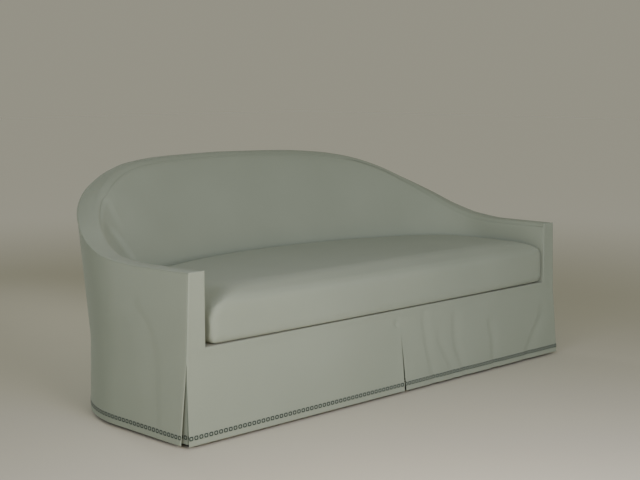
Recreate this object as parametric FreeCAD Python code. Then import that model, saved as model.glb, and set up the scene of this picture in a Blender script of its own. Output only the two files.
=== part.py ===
import FreeCAD, Part
import math
import os

# A barrel-backed settee: low narrow arms that sweep up into a curved back, one loose bench cushion,
# and a cover that falls straight to the floor with kick pleats at the front corners and centre.
# Millimetres, +X to the right of someone looking at the front, +Y to the back, +Z up.
# The model is drawn with Y = 0 at the front face of the arms, and moved at the end so that the
# origin is under the middle of the whole piece.

# Plan of the outside cover at the height where the skirt starts to hang
HALF_WIDTH = 1010.0
DEPTH = 937.0
CORNER_RADIUS = 460.0
CORNER_TURN = 65.5

# Heights above the floor
BACK_HEIGHT = 861.0
ARM_HEIGHT = 562.0
DECK_HEIGHT = 316.0
BREAK_HEIGHT = 264.0
HEM_HEIGHT = 10.0
RAIL_BOTTOM = 180.0
RAIL_DEPTH = 108.0

# Top line of arm and back: share of the way from arm front to mid back, share of the rise
TOP_LINE = ((0.0, 0.0), (0.15, 0.0), (0.24, 0.04), (0.31, 0.145), (0.385, 0.34), (0.46, 0.545),
            (0.54, 0.745), (0.615, 0.872), (0.69, 0.94), (0.8, 0.982), (1.0, 1.0))

# Lean of the outside, as outward run per unit of height, at the arm front and round the back
ARM_LEAN = -0.041
BACK_LEAN = 0.113
LEAN_RUN = 870.0

# Upholstered top border
BORDER_WIDTH_FRONT = 68.0
BORDER_WIDTH_BACK = 78.0
BORDER_THICK = 12.0
BORDER_EDGE = 10.0

# Seat well, the inside faces of arms and back at seat level
ARM_THICK = 78.0
BACK_THICK = 180.0
WELL_CORNER_RADIUS = 360.0
SEAT_LINE = 470.0

# Padding and covers
COVER = 4.0
CLEAR = 0.3
EASE = 0.9
PAD_ARM = 14.0
PAD_BACK = 40.0
PAD_TOP = 14.0
PAD_ROLL = 24.0
PAD_CROWN = 0.04
PAD_FOOT = 300.0
DECK_THICK = 20.0
WEB_THICK = 1.5
WEB_WIDTH = 50.0
WEB_PITCH = 150.0

# Hardwood frame
RAIL_THICK = 45.0
FRONT_RAIL_THICK = 32.0
TOP_RAIL_DEPTH = 45.0
POST_THICK = 32.0
LINER_THICK = 20.0
LINER_DEPTH = 50.0
BLOCK_LEG = 90.0
UPRIGHT_SPANS = (3, 2)
STRETCHER_THICK = 28.0
STRETCHER_DEPTH = 60.0
STRETCHER_X = 345.0

# Legs and glides, all behind the skirt
LEG_TOP = 60.0
LEG_FOOT = 42.0
LEG_INSET = 42.0
GLIDE_RADIUS = 14.0
GLIDE_HEIGHT = 6.0
DUST_COVER_THICK = 1.5

# Sinuous seat springs
SPRING_WIRE = 4.0
SPRING_COUNT = 8
SPRING_MARGIN = 292.5
SPRING_HALF_WIDTH = 26.0
SPRING_LOOP = 52.0
BEND_ANGLE = 50.0
CLIP_WIDTH = 14.0
CLIP_LENGTH = 18.0
CLIP_THICK = 1.5
TIE_COUNT = 2

# Skirt, pleats and trim
FLARE_FRONT = 18.0
FLARE_BACK = 5.0
FLARE_RUN = 420.0
PLEAT_TOP = 250.0
CORNER_SLIT = 7.0
CENTRE_SLIT = 3.0
BACKING_HALF = 80.0
BACKING_THICK = 2.0
TRIM_WIDTH = 15.0
TRIM_RISE = 19.0
TRIM_THICK = 1.2

# Loose seat cushion
CUSHION_HEIGHT = 172.0
CUSHION_OVERHANG = 14.0
CUSHION_SIDE_EASE = 6.0
CUSHION_BACK_EASE = 16.0
CUSHION_FRONT_CORNER = 48.0

# Edge of the cushion: share of its height, and how far it draws in; then its crown: share of its
# height, and share of the straight side over which the crown is reached
CUSHION_EDGE = ((0.0, 34.0), (0.04, 14.0), (0.13, 2.0), (0.3, 0.0), (0.55, 0.0), (0.72, 5.0),
                (0.83, 18.0), (0.905, 44.0))
CUSHION_CROWN = ((0.955, 0.3), (0.985, 0.49), (1.0, 0.72))

# Zip along the back of the cushion
ZIP_LENGTH = 900.0
ZIP_SHARE = 0.44
ZIP_TAPE = 24.0
ZIP_TAPE_THICK = 1.0
ZIP_CHAIN = 5.0
ZIP_CHAIN_THICK = 1.6
SLIDER_LENGTH = 12.0
SLIDER_WIDTH = 10.0
SLIDER_THICK = 4.5
TAB_LENGTH = 24.0
TAB_WIDTH = 7.0
TAB_THICK = 1.2

V = FreeCAD.Vector
RAIL_TOP = RAIL_BOTTOM + RAIL_DEPTH
POST_HALF = POST_THICK / 2


def smooth(share):
    """0 to 1 with level ends."""
    share = min(max(share, 0.0), 1.0)
    return share * share * (3 - 2 * share)


def between(low, high, share):
    return low + (high - low) * share


def curve_value(points, at):
    """A smooth line through points that never overshoots them."""
    xs = [p[0] for p in points]
    ys = [p[1] for p in points]
    steps = [(ys[i + 1] - ys[i]) / (xs[i + 1] - xs[i]) for i in range(len(xs) - 1)]
    slopes = [steps[0]]
    for before, after in zip(steps, steps[1:]):
        slopes.append(2 * before * after / (before + after) if before * after > 0 else 0.0)
    slopes.append(steps[-1])
    i = 0
    while i < len(xs) - 2 and at > xs[i + 1]:
        i += 1
    run = xs[i + 1] - xs[i]
    t = (at - xs[i]) / run
    return (ys[i] * (1 + 2 * t) * (1 - t) ** 2 + ys[i + 1] * t * t * (3 - 2 * t)
            + run * (slopes[i] * t * (1 - t) ** 2 - slopes[i + 1] * t * t * (1 - t)))


class Outline:
    """A barrel in plan: straight side, tight corner arc, long back arc, mirrored about X = 0.
    Places on it are measured along it from the front left."""

    def __init__(self, half_width, front, depth, radius):
        turn = math.radians(CORNER_TURN)
        rest = math.pi / 2 - turn
        self.half_width = half_width
        self.front = front
        self.depth = depth
        self.radius = radius
        self.turn = turn
        self.back_radius = (half_width - radius + radius * math.cos(turn)) / math.sin(rest)
        self.back_y = depth - self.back_radius
        self.side_end = depth - radius * math.sin(turn) - self.back_radius * (1 - math.cos(rest))
        self.side = self.side_end - front
        self.corner = radius * turn
        self.half = self.side + self.corner + self.back_radius * rest

    def place(self, s, out=0.0):
        """Point in plan and outward direction at a distance s along the line."""
        if s > self.half:
            x, y, nx, ny = self.place(2 * self.half - s, out)
            return -x, y, -nx, ny
        if s <= self.side:
            return -(self.half_width + out), self.front + s, -1.0, 0.0
        if s <= self.side + self.corner:
            a = (s - self.side) / self.radius
            nx, ny = -math.cos(a), math.sin(a)
            reach = self.radius + out
            return -(self.half_width - self.radius) + reach * nx, self.side_end + reach * ny, nx, ny
        a = self.turn + (s - self.side - self.corner) / self.back_radius
        nx, ny = -math.cos(a), math.sin(a)
        reach = self.back_radius + out
        return reach * nx, self.back_y + reach * ny, nx, ny

    def distance_out(self, x, y):
        """How far a point in plan lies outside the line."""
        x = abs(x)
        if y <= self.side_end:
            return x - self.half_width
        cx, cy = self.half_width - self.radius, y - self.side_end
        if math.atan2(cy, x - cx) < self.turn:
            return math.hypot(x - cx, cy) - self.radius
        return math.hypot(x, y - self.back_y) - self.back_radius

    def path(self, out, a, b, z):
        """Edges of the line moved out by a distance, from a to b along it."""
        marks = [self.side, self.side + self.corner, self.half]
        marks += [2 * self.half - m for m in marks]
        stops = [a] + [m for m in sorted(set(marks)) if a + 0.01 < m < b - 0.01] + [b]
        edges = []
        for start, end in zip(stops, stops[1:]):
            p, m, q = (V(*self.place(s, out)[:2], z) for s in (start, (start + end) / 2, end))
            straight = (m - (p + q) * 0.5).Length < 0.001
            edges.append(Part.makeLine(p, q) if straight else Part.Arc(p, m, q).toShape())
        return edges

    def strip(self, inner, outer, a, b, low, high):
        """A wall of even thickness that follows the line."""
        near = self.path(inner, a, b, low)
        far = self.path(outer, a, b, low)
        ends = [Part.makeLine(near[0].firstVertex().Point, far[0].firstVertex().Point),
                Part.makeLine(near[-1].lastVertex().Point, far[-1].lastVertex().Point)]
        return prism(near + far + ends, high - low)

    def room(self, out, a, low, high):
        """Everything inside the line, closed off straight across the front."""
        edges = self.path(out, a, 2 * self.half - a, low)
        edges.append(Part.makeLine(edges[0].firstVertex().Point, edges[-1].lastVertex().Point))
        return prism(edges, high - low)


def prism(edges, height):
    face = Part.Face(Part.Wire(Part.__sortEdges__(edges)))
    return outward(face.extrude(V(0, 0, height)))


def outward(solid):
    return solid.reversed() if solid.Volume < 0 else solid


def box(x0, x1, y0, y1, z0, z1):
    return Part.makeBox(x1 - x0, y1 - y0, z1 - z0, V(x0, y0, z0))


def mirrored(shape):
    return outward(shape.mirror(V(0, 0, 0), V(1, 0, 0)))


OUTER = Outline(HALF_WIDTH, 0.0, DEPTH, CORNER_RADIUS)
WELL = Outline(HALF_WIDTH - ARM_THICK, 0.0, DEPTH - BACK_THICK, WELL_CORNER_RADIUS)
CUSHION = Outline(WELL.half_width - CUSHION_SIDE_EASE, -CUSHION_OVERHANG,
                  WELL.depth - CUSHION_BACK_EASE, WELL_CORNER_RADIUS)
END = 2 * OUTER.half

# Places of the sections from which bent pieces are made, and the joints that fall on them
ARM_STEPS = 3
BEND_STEPS = 2
CORNER_STEPS = 14
BACK_STEPS = 12
ARM_JOINT_STEP = 9
RAIL_JOINT_STEP = 11
COVER_SEAM_STEP = 2
CORNER_END = OUTER.side + OUTER.corner
CORNER_STEP = OUTER.corner / CORNER_STEPS
BACK_STEP = (OUTER.half - CORNER_END) / BACK_STEPS
ARM_JOINT = OUTER.side + CORNER_STEP * ARM_JOINT_STEP
RAIL_JOINT = OUTER.side + CORNER_STEP * RAIL_JOINT_STEP
COVER_SEAM = CORNER_END + BACK_STEP * COVER_SEAM_STEP
HALF_MARKS = [WELL.side_end * i / ARM_STEPS for i in range(ARM_STEPS)]
HALF_MARKS += [between(WELL.side_end, OUTER.side, i / BEND_STEPS) for i in range(BEND_STEPS)]
HALF_MARKS += [OUTER.side + CORNER_STEP * i for i in range(CORNER_STEPS)]
HALF_MARKS += [CORNER_END + BACK_STEP * i for i in range(BACK_STEPS)]
MARKS = HALF_MARKS + [OUTER.half] + [END - m for m in reversed(HALF_MARKS)]


class Wall:
    """The sizes of the arm or back wall at one place, as offsets from the outside line."""

    def __init__(self, s):
        s = min(s, END - s)
        self.s = s
        share = smooth(s / LEAN_RUN)
        self.lean = between(ARM_LEAN, BACK_LEAN, share)
        self.flare = between(FLARE_FRONT, FLARE_BACK, smooth(s / FLARE_RUN))
        self.pad = between(PAD_ARM, PAD_BACK, share)
        self.roll = PAD_ROLL * share
        rise = curve_value(TOP_LINE, s / OUTER.half)
        self.top = between(ARM_HEIGHT, BACK_HEIGHT, rise)
        self.seam = self.top - BORDER_THICK
        self.inner_top = self.outside(self.seam) - between(BORDER_WIDTH_FRONT, BORDER_WIDTH_BACK, share)
        self.inset = self.well_inset()
        self.pad_back = self.pad - self.inset
        self.pad_back_top = max(self.inner_top, -self.inset) + PAD_TOP
        self.web = self.pad_back + EASE
        self.liner = self.web + WEB_THICK + 2 * CLEAR
        self.rail_in = self.pad_back_top + EASE + WEB_THICK + 2 * CLEAR
        self.rail_bottom = self.seam - CLEAR - TOP_RAIL_DEPTH

    def outside(self, z):
        """Offset of the outer face at a height."""
        if z >= BREAK_HEIGHT:
            return self.lean * (z - BREAK_HEIGHT)
        drop = (BREAK_HEIGHT - z) / (BREAK_HEIGHT - HEM_HEIGHT)
        return self.flare * drop

    def well_inset(self):
        """Distance from the outside line square in to the seat well."""
        x, y, nx, ny = OUTER.place(self.s)
        low, high = 0.0, CORNER_RADIUS
        for _ in range(40):
            mid = (low + high) / 2
            if WELL.distance_out(x - nx * mid, y - ny * mid) > 0:
                low = mid
            else:
                high = mid
        return low


def stations(a, b):
    """Places for the sections of a piece from a to b, the same for every piece."""
    return [a] + [m for m in MARKS if a + CLEAR < m < b - CLEAR] + [b]


def section(s, points):
    """A closed profile stood square across the wall."""
    x, y, nx, ny = OUTER.place(s)
    return Part.makePolygon([V(x + nx * u, y + ny * u, z) for u, z in points + points[:1]])


def loft(profile, a, b):
    """A piece whose profile changes as it follows the wall from a to b."""
    return joined(profile, stations(a, b))


def short_loft(profile, middle, half_length):
    """A straight piece across the wall, such as a post or a strap."""
    return joined(profile, [middle - half_length, middle + half_length])


def joined(profile, places):
    return outward(Part.makeLoft([section(s, profile(Wall(s))) for s in places], True, True))


def taper(low_ring, high_ring):
    """A solid with flat faces between two rings of as many corners."""
    faces = [Part.Face(Part.makePolygon(ring + ring[:1])) for ring in (low_ring, high_ring)]
    for i in range(len(low_ring)):
        j = (i + 1) % len(low_ring)
        faces.append(Part.Face(Part.makePolygon([low_ring[i], low_ring[j], high_ring[j], high_ring[i],
                                                 low_ring[i]])))
    return outward(Part.Solid(Part.Shell(faces)))


def ribbon(points, width, low, height):
    """A flat band of even width along a bent line in plan."""
    left, right = [], []
    for i, (x, y) in enumerate(points):
        ahead = points[min(i + 1, len(points) - 1)]
        behind = points[max(i - 1, 0)]
        d1 = unit(x - behind[0], y - behind[1]) if i else unit(ahead[0] - x, ahead[1] - y)
        d2 = unit(ahead[0] - x, ahead[1] - y) if i < len(points) - 1 else d1
        nx, ny = unit(-d1[1] - d2[1], d1[0] + d2[0])
        reach = width / 2 / (nx * -d1[1] + ny * d1[0])
        left.append(V(x + nx * reach, y + ny * reach, low))
        right.append(V(x - nx * reach, y - ny * reach, low))
    ring = left + right[::-1]
    return outward(Part.Face(Part.makePolygon(ring + ring[:1])).extrude(V(0, 0, height)))


def unit(x, y):
    length = math.hypot(x, y)
    return x / length, y / length


# Upholstered wall

def border(w):
    out, inside = w.outside(w.seam), w.inner_top
    shoulder = w.top - BORDER_EDGE / 2
    return [(out, w.seam), (out, shoulder), (out - BORDER_EDGE, w.top), (inside + BORDER_EDGE, w.top),
            (inside, shoulder), (inside, w.seam)]


def outside_cover(w):
    top = w.seam - CLEAR
    points = [(w.outside(HEM_HEIGHT), HEM_HEIGHT), (0.0, BREAK_HEIGHT), (w.outside(top), top)]
    return points + [(u - COVER, z) for u, z in reversed(points)]


def inside_pad(w):
    """Padding and inside cover: a rolled top edge, a crowned lean and an upright foot by the seat."""
    top = w.seam - CLEAR
    face = max(w.inner_top, -w.inset)
    roll = max(w.inner_top - w.roll, -w.inset)
    shoulder = top - PAD_ROLL
    crown = PAD_CROWN * (shoulder - SEAT_LINE)
    return [(face, top), (between(face, roll, 0.7), between(top, shoulder, 0.3)), (roll, shoulder),
            ((roll - w.inset) / 2 - crown, (shoulder + SEAT_LINE) / 2), (-w.inset, SEAT_LINE),
            (-w.inset, PAD_FOOT), (w.pad_back, PAD_FOOT), (w.pad_back, SEAT_LINE),
            (w.pad_back_top, top - TOP_RAIL_DEPTH), (w.pad_back_top, top)]


def strap(w):
    top = w.seam - EASE
    knee = top - TOP_RAIL_DEPTH
    upper = w.pad_back_top + EASE
    line = [(w.web, PAD_FOOT + CLEAR), (w.web, SEAT_LINE), (upper, knee), (upper, top)]
    return line + [(u + WEB_THICK, z) for u, z in reversed(line)]


def liner(w):
    top = PAD_FOOT + LINER_DEPTH
    return [(w.liner, PAD_FOOT), (w.liner + LINER_THICK, PAD_FOOT), (w.liner + LINER_THICK, top),
            (w.liner, top)]


def top_rail(w):
    high, low = w.seam - CLEAR, w.rail_bottom
    gap = COVER + CLEAR
    return [(w.outside(high) - gap, high), (w.outside(low) - gap, low), (w.rail_in, low), (w.rail_in, high)]


def post(w):
    foot, head = RAIL_TOP + CLEAR, w.rail_bottom - EASE
    gap = COVER + EASE
    inner = w.liner + LINER_THICK + EASE
    knee = PAD_FOOT + LINER_DEPTH + LINER_THICK
    return [(w.outside(foot) - gap, foot), (w.outside(head) - gap, head), (w.rail_in + EASE, head),
            (inner, knee), (inner, foot)]


# Frame

# The rails stand back far enough for the pleat backings to pass in front of them
FRONT_FACE = COVER + CLEAR
POST_REAR = FRONT_FACE + POST_THICK
RAIL_FACE = FRONT_FACE + BACKING_THICK + CLEAR
RAIL_REAR = RAIL_FACE + FRONT_RAIL_THICK
OUT_FACE = -(COVER + BACKING_THICK + EASE)
IN_FACE = OUT_FACE - RAIL_THICK


def front_rail():
    reach = HALF_WIDTH + OUT_FACE
    return box(-reach, reach, RAIL_FACE, RAIL_REAR, RAIL_BOTTOM, RAIL_TOP)


def side_rail():
    return OUTER.strip(IN_FACE, OUT_FACE, RAIL_REAR + CLEAR, RAIL_JOINT, RAIL_BOTTOM, RAIL_TOP)


def back_rail():
    start = RAIL_JOINT + CLEAR
    return OUTER.strip(IN_FACE, OUT_FACE, start, END - start, RAIL_BOTTOM, RAIL_TOP)


def rail_splice():
    """A curved block glued behind the butt joint of side and back rail."""
    margin = STRETCHER_THICK / 2
    return OUTER.strip(IN_FACE - CLEAR - STRETCHER_THICK, IN_FACE - CLEAR, RAIL_JOINT - LEG_TOP,
                       RAIL_JOINT + LEG_TOP, RAIL_BOTTOM + margin, RAIL_TOP - margin)


def corner_block():
    """A three-sided block in the angle of front and side rail."""
    margin = STRETCHER_THICK / 2
    x, y = -HALF_WIDTH - IN_FACE + CLEAR, RAIL_REAR + CLEAR
    low = RAIL_BOTTOM + margin
    ring = [V(x, y, low), V(x + BLOCK_LEG, y, low), V(x, y + BLOCK_LEG, low), V(x, y, low)]
    return outward(Part.Face(Part.makePolygon(ring)).extrude(V(0, 0, RAIL_DEPTH - 2 * margin)))


def stretchers():
    low = RAIL_BOTTOM + STRETCHER_THICK / 2
    space = OUTER.room(IN_FACE - CLEAR, RAIL_REAR + CLEAR, low, low + STRETCHER_DEPTH)
    half = STRETCHER_THICK / 2
    bars = [box(x - half, x + half, 0, DEPTH, low, low + STRETCHER_DEPTH)
            for x in (-STRETCHER_X, STRETCHER_X)]
    return [bar.common(space).Solids[0] for bar in bars]


def front_post():
    """The arm post behind the front panel, with its outer edge on the slant of the cover."""
    foot, head = RAIL_TOP + CLEAR, ARM_HEIGHT - BORDER_THICK - 2 * CLEAR - TOP_RAIL_DEPTH
    wall = Wall(0.0)
    x0 = [-HALF_WIDTH - wall.outside(z) + COVER + CLEAR for z in (foot, head)]
    x1 = -HALF_WIDTH - wall.liner
    ring = [V(x0[0], FRONT_FACE, foot), V(x1, FRONT_FACE, foot), V(x1, FRONT_FACE, head),
            V(x0[1], FRONT_FACE, head)]
    return outward(Part.Face(Part.makePolygon(ring + ring[:1])).extrude(V(0, POST_THICK, 0)))


def legs(spots):
    """Tapered blocks that stand on the glides, each under the dust cover and the rails."""
    heights = ((GLIDE_HEIGHT, LEG_FOOT / 2), (RAIL_BOTTOM - DUST_COVER_THICK - 2 * CLEAR, LEG_TOP / 2))
    corners = ((-1, -1), (1, -1), (1, 1), (-1, 1))
    return [taper(*[[V(x + i * h, y + j * h, z) for i, j in corners] for z, h in heights])
            for x, y in spots]


def leg_spots():
    front_x = HALF_WIDTH - LEG_INSET
    rear = OUTER.place(COVER_SEAM, -LEG_INSET)
    front = [(-front_x, LEG_INSET), (front_x, LEG_INSET)]
    back = [(rear[0], rear[1]), (-rear[0], rear[1])]
    middle = [(0.0, LEG_INSET), (0.0, DEPTH - LEG_INSET)]
    return front, back, middle


def dust_cover():
    top = RAIL_BOTTOM - CLEAR
    return OUTER.room(OUT_FACE, FRONT_FACE, top - DUST_COVER_THICK, top)


# Springs

SPRING_PITCH = 2 * (HALF_WIDTH - SPRING_MARGIN) / (SPRING_COUNT - 1)


def spring_line(x):
    """Centre line of one sinuous spring, from the front rail to the back rail."""
    start = (RAIL_FACE + RAIL_REAR) / 2
    reach = OUTER.back_radius + (IN_FACE + OUT_FACE) / 2
    if abs(x) > OUTER.half_width - OUTER.radius:
        cx = abs(x) - (OUTER.half_width - OUTER.radius)
        radius = OUTER.radius + (IN_FACE + OUT_FACE) / 2
        end = OUTER.side_end + math.sqrt(radius ** 2 - cx ** 2)
    else:
        end = OUTER.back_y + math.sqrt(reach ** 2 - x ** 2)
    loops = int((end - start - SPRING_LOOP) // SPRING_LOOP)
    step = (end - start) / (loops + 1)
    bend = step / 2
    straight = SPRING_HALF_WIDTH - bend
    points = [(x - SPRING_HALF_WIDTH, start), (x, start)]
    for i in range(loops):
        side = 1 if i % 2 == 0 else -1
        y = start + i * step
        for angle in (-BEND_ANGLE, BEND_ANGLE):
            a = math.radians(angle)
            points.append((x + side * (straight + bend * math.cos(a)), y + bend + bend * math.sin(a)))
    y = start + loops * step
    points += [(x, y), (x, y + step)]
    return points


def spring_rows():
    first = SPRING_MARGIN - HALF_WIDTH
    return [first + i * SPRING_PITCH for i in range(SPRING_COUNT)]


def seat_springs():
    low = RAIL_TOP + CLIP_THICK + CLEAR
    return [ribbon(spring_line(x), SPRING_WIRE, low, SPRING_WIRE) for x in spring_rows()]


def spring_clips():
    """A folded plate over each end of each spring, standing on the rails."""
    clips = []
    for x in spring_rows():
        line = spring_line(x)
        clips.append(clip(x - SPRING_HALF_WIDTH / 2, line[0][1], -1))
        clips.append(clip(line[-1][0], line[-1][1], 1))
    return clips


def clip(x, y, closed):
    """One plate, folded shut towards the front (-1) or the back (1)."""
    low, wide = RAIL_TOP + CLEAR / 2, CLIP_WIDTH / 2
    reach = CLIP_LENGTH / 2
    high = low + CLIP_THICK * 2 + SPRING_WIRE + CLEAR * 2
    whole = box(x - wide, x + wide, y - reach, y + reach, low, high)
    middle = y - closed * CLIP_THICK
    slot = box(x - wide - 1, x + wide + 1, middle - reach, middle + reach, low + CLIP_THICK, high - CLIP_THICK)
    return whole.cut(slot)


def tie_wires():
    """Straight wires clipped across under the springs."""
    top = RAIL_TOP + CLIP_THICK
    reach = HALF_WIDTH - SPRING_MARGIN + SPRING_HALF_WIDTH
    radius = SPRING_WIRE / 2
    wires = []
    for i in range(TIE_COUNT):
        y = WELL.side_end + (WELL.depth - WELL.side_end) * i / 2
        start = V(-reach, y, top - radius)
        wires.append(Part.makeCylinder(radius, 2 * reach, start, V(1, 0, 0)))
    return wires


def seat_deck():
    top = DECK_HEIGHT
    return WELL.room(-EASE, FRONT_FACE, top - DECK_THICK, top)


# Front, pleats and trim

def front_y(z):
    """Front face of the skirt at a height."""
    return -Wall(0.0).outside(min(z, BREAK_HEIGHT))


def panel(rows, thick, push=0.0):
    """A hanging panel from rows of height, left edge and right edge."""
    rings = []
    for z, left, right in rows:
        y = front_y(z) + push
        rings.append([V(left, y, z), V(right, y, z), V(right, y + thick, z), V(left, y + thick, z)])
    solid = taper(rings[0], rings[1])
    for low, high in zip(rings[1:], rings[2:]):
        solid = solid.fuse(taper(low, high))
    return outward(solid.removeSplitter().Solids[0])


def skirt_edges(z):
    """Left and right edge of the left front skirt at a height, in from corner and centre."""
    fall = max(PLEAT_TOP - z, 0.0) / (PLEAT_TOP - HEM_HEIGHT)
    corner = HALF_WIDTH + Wall(0.0).outside(z)
    return -corner + CORNER_SLIT * fall, -CLEAR - CENTRE_SLIT * fall


def front_panel():
    """Half of the front cover, in one piece: arm front, apron under the cushion and skirt."""
    heights = [DECK_HEIGHT, BREAK_HEIGHT, PLEAT_TOP, HEM_HEIGHT]
    apron = panel([(z, *skirt_edges(z)) for z in heights], COVER)
    low, high = DECK_HEIGHT, ARM_HEIGHT - BORDER_THICK - CLEAR
    outer = [-HALF_WIDTH - Wall(0.0).outside(z) for z in (low, high)]
    inner = -WELL.half_width
    ring = [V(outer[0], 0, low), V(inner, 0, low), V(inner, 0, high), V(outer[1], 0, high)]
    facing = Part.Face(Part.makePolygon(ring + ring[:1])).extrude(V(0, COVER, 0))
    return outward(apron.fuse(outward(facing)).removeSplitter().Solids[0])


def side_cover():
    """Outside arm, from the top seam to the hem, with its front edge drawn back below the pleat."""
    start = COVER + CLEAR
    whole = loft(outside_cover, start, COVER_SEAM)
    reach = HALF_WIDTH + FLARE_FRONT * 3
    ring = [V(-reach, start, PLEAT_TOP), V(-reach, start + CORNER_SLIT, HEM_HEIGHT),
            V(-reach, start + CORNER_SLIT, 0), V(-reach, -start, 0), V(-reach, -start, PLEAT_TOP)]
    wedge = Part.Face(Part.makePolygon(ring + ring[:1])).extrude(V(reach / 2, 0, 0))
    return whole.cut(wedge).Solids[0]


def back_cover():
    start = COVER_SEAM + CLEAR
    return loft(outside_cover, start, END - start)


def corner_backing():
    """The piece behind a corner pleat, an angle that follows the flare of the skirt."""
    rings = []
    behind = COVER + CLEAR
    t = BACKING_THICK
    for z in (PLEAT_TOP + COVER, HEM_HEIGHT + COVER):
        near, far = [-HALF_WIDTH - Wall(s).outside(z) + behind for s in (0.0, BACKING_HALF)]
        y = front_y(z) + behind
        ring = [(near, y), (near + BACKING_HALF, y), (near + BACKING_HALF, y + t), (near + t, y + t),
                (far + t, y + BACKING_HALF), (far, y + BACKING_HALF)]
        rings.append(Part.makePolygon([V(a, b, z) for a, b in ring + ring[:1]]))
    return outward(Part.makeLoft(rings, True, True))


def centre_backing():
    rows = [(z, -BACKING_HALF, BACKING_HALF) for z in (PLEAT_TOP + COVER, HEM_HEIGHT + COVER)]
    return panel(rows, BACKING_THICK, COVER + CLEAR)


def trim_heights():
    return HEM_HEIGHT + TRIM_RISE + TRIM_WIDTH, HEM_HEIGHT + TRIM_RISE


def front_trim():
    left = panel([(z, *skirt_edges(z)) for z in trim_heights()], TRIM_THICK, -TRIM_THICK - CLEAR / 3)
    return [left, mirrored(left)]


def wall_trim(w):
    high, low = trim_heights()
    gap = CLEAR / 3
    line = [(w.outside(high) + gap, high), (w.outside(low) + gap, low)]
    return line + [(u + TRIM_THICK, z) for u, z in reversed(line)]


def side_trim():
    return loft(wall_trim, COVER + CLEAR + CORNER_SLIT, COVER_SEAM)


def back_trim():
    start = COVER_SEAM + CLEAR
    return loft(wall_trim, start, END - start)


# Cushion

CUSHION_BOTTOM = DECK_HEIGHT + CLEAR
CUSHION_TOP = CUSHION_BOTTOM + CUSHION_HEIGHT


def cushion_ring(z, inset):
    """Outline of the cushion at a height, drawn in by a distance, with soft front corners."""
    line = CUSHION
    corner = min(CUSHION_FRONT_CORNER, (line.side - inset) * 0.9)
    start = inset + corner
    side = line.path(-inset, start, 2 * line.half - start, z)
    x, y = line.half_width - inset, line.front + inset
    middle = corner * (1 - math.sqrt(0.5))
    left = Part.Arc(V(-x + corner, y, z), V(-x + middle, y + middle, z), V(-x, y + corner, z))
    right = Part.Arc(V(x, y + corner, z), V(x - middle, y + middle, z), V(x - corner, y, z))
    front = Part.makeLine(V(x - corner, y, z), V(-x + corner, y, z))
    return Part.Wire([left.toShape()] + side + [right.toShape(), front])


def cushion_body():
    rings = []
    crown = [(share, CUSHION.side * reach) for share, reach in CUSHION_CROWN]
    for share, inset in list(CUSHION_EDGE) + crown:
        rings.append(cushion_ring(between(CUSHION_BOTTOM, CUSHION_TOP, share), inset))
    return outward(Part.makeLoft(rings, True, True))


def cushion_zip():
    """Tape and closed chain of the zip, on the back of the cushion."""
    z = between(CUSHION_BOTTOM, CUSHION_TOP, ZIP_SHARE)
    a, b = CUSHION.half - ZIP_LENGTH / 2, CUSHION.half + ZIP_LENGTH / 2
    tape = CUSHION.strip(CLEAR, CLEAR + ZIP_TAPE_THICK, a, b, z - ZIP_TAPE / 2, z + ZIP_TAPE / 2)
    face = CLEAR + ZIP_TAPE_THICK
    chain = CUSHION.strip(face, face + ZIP_CHAIN_THICK, a, b, z - ZIP_CHAIN / 2, z + ZIP_CHAIN / 2)
    return tape.fuse(chain).removeSplitter().Solids[0]


def zip_slider():
    """The slider at the closed end of the zip, hugging the chain, with its tab hanging down."""
    z = between(CUSHION_BOTTOM, CUSHION_TOP, ZIP_SHARE)
    a = CUSHION.half - ZIP_LENGTH / 2 + SLIDER_LENGTH / 2
    b = a + SLIDER_LENGTH
    face = CLEAR * 2 + ZIP_TAPE_THICK
    body = CUSHION.strip(face, face + SLIDER_THICK, a, b, z - SLIDER_WIDTH / 2, z + SLIDER_WIDTH / 2)
    groove_half = ZIP_CHAIN / 2 + CLEAR
    groove = CUSHION.strip(0, CLEAR * 2 + ZIP_TAPE_THICK + ZIP_CHAIN_THICK, a - 1, b + 1,
                           z - groove_half, z + groove_half)
    middle = (a + b) / 2
    outer = face + SLIDER_THICK
    tab = CUSHION.strip(outer - TAB_THICK / 2, outer + TAB_THICK / 2, middle - TAB_WIDTH / 2,
                        middle + TAB_WIDTH / 2, z - TAB_LENGTH, z + SLIDER_WIDTH / 4)
    return body.cut(groove).fuse(tab).removeSplitter().Solids[0]


# Assembly

def group(solids):
    return Part.makeCompound(list(solids))


def pair(shape):
    return group([shape, mirrored(shape)])


def web_places():
    """Centre of each strap, spread evenly round the wall between the front posts."""
    first = POST_REAR + WEB_WIDTH
    count = int((END - 2 * first) // WEB_PITCH)
    return [first + (END - 2 * first) * i / count for i in range(count + 1)]


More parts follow.
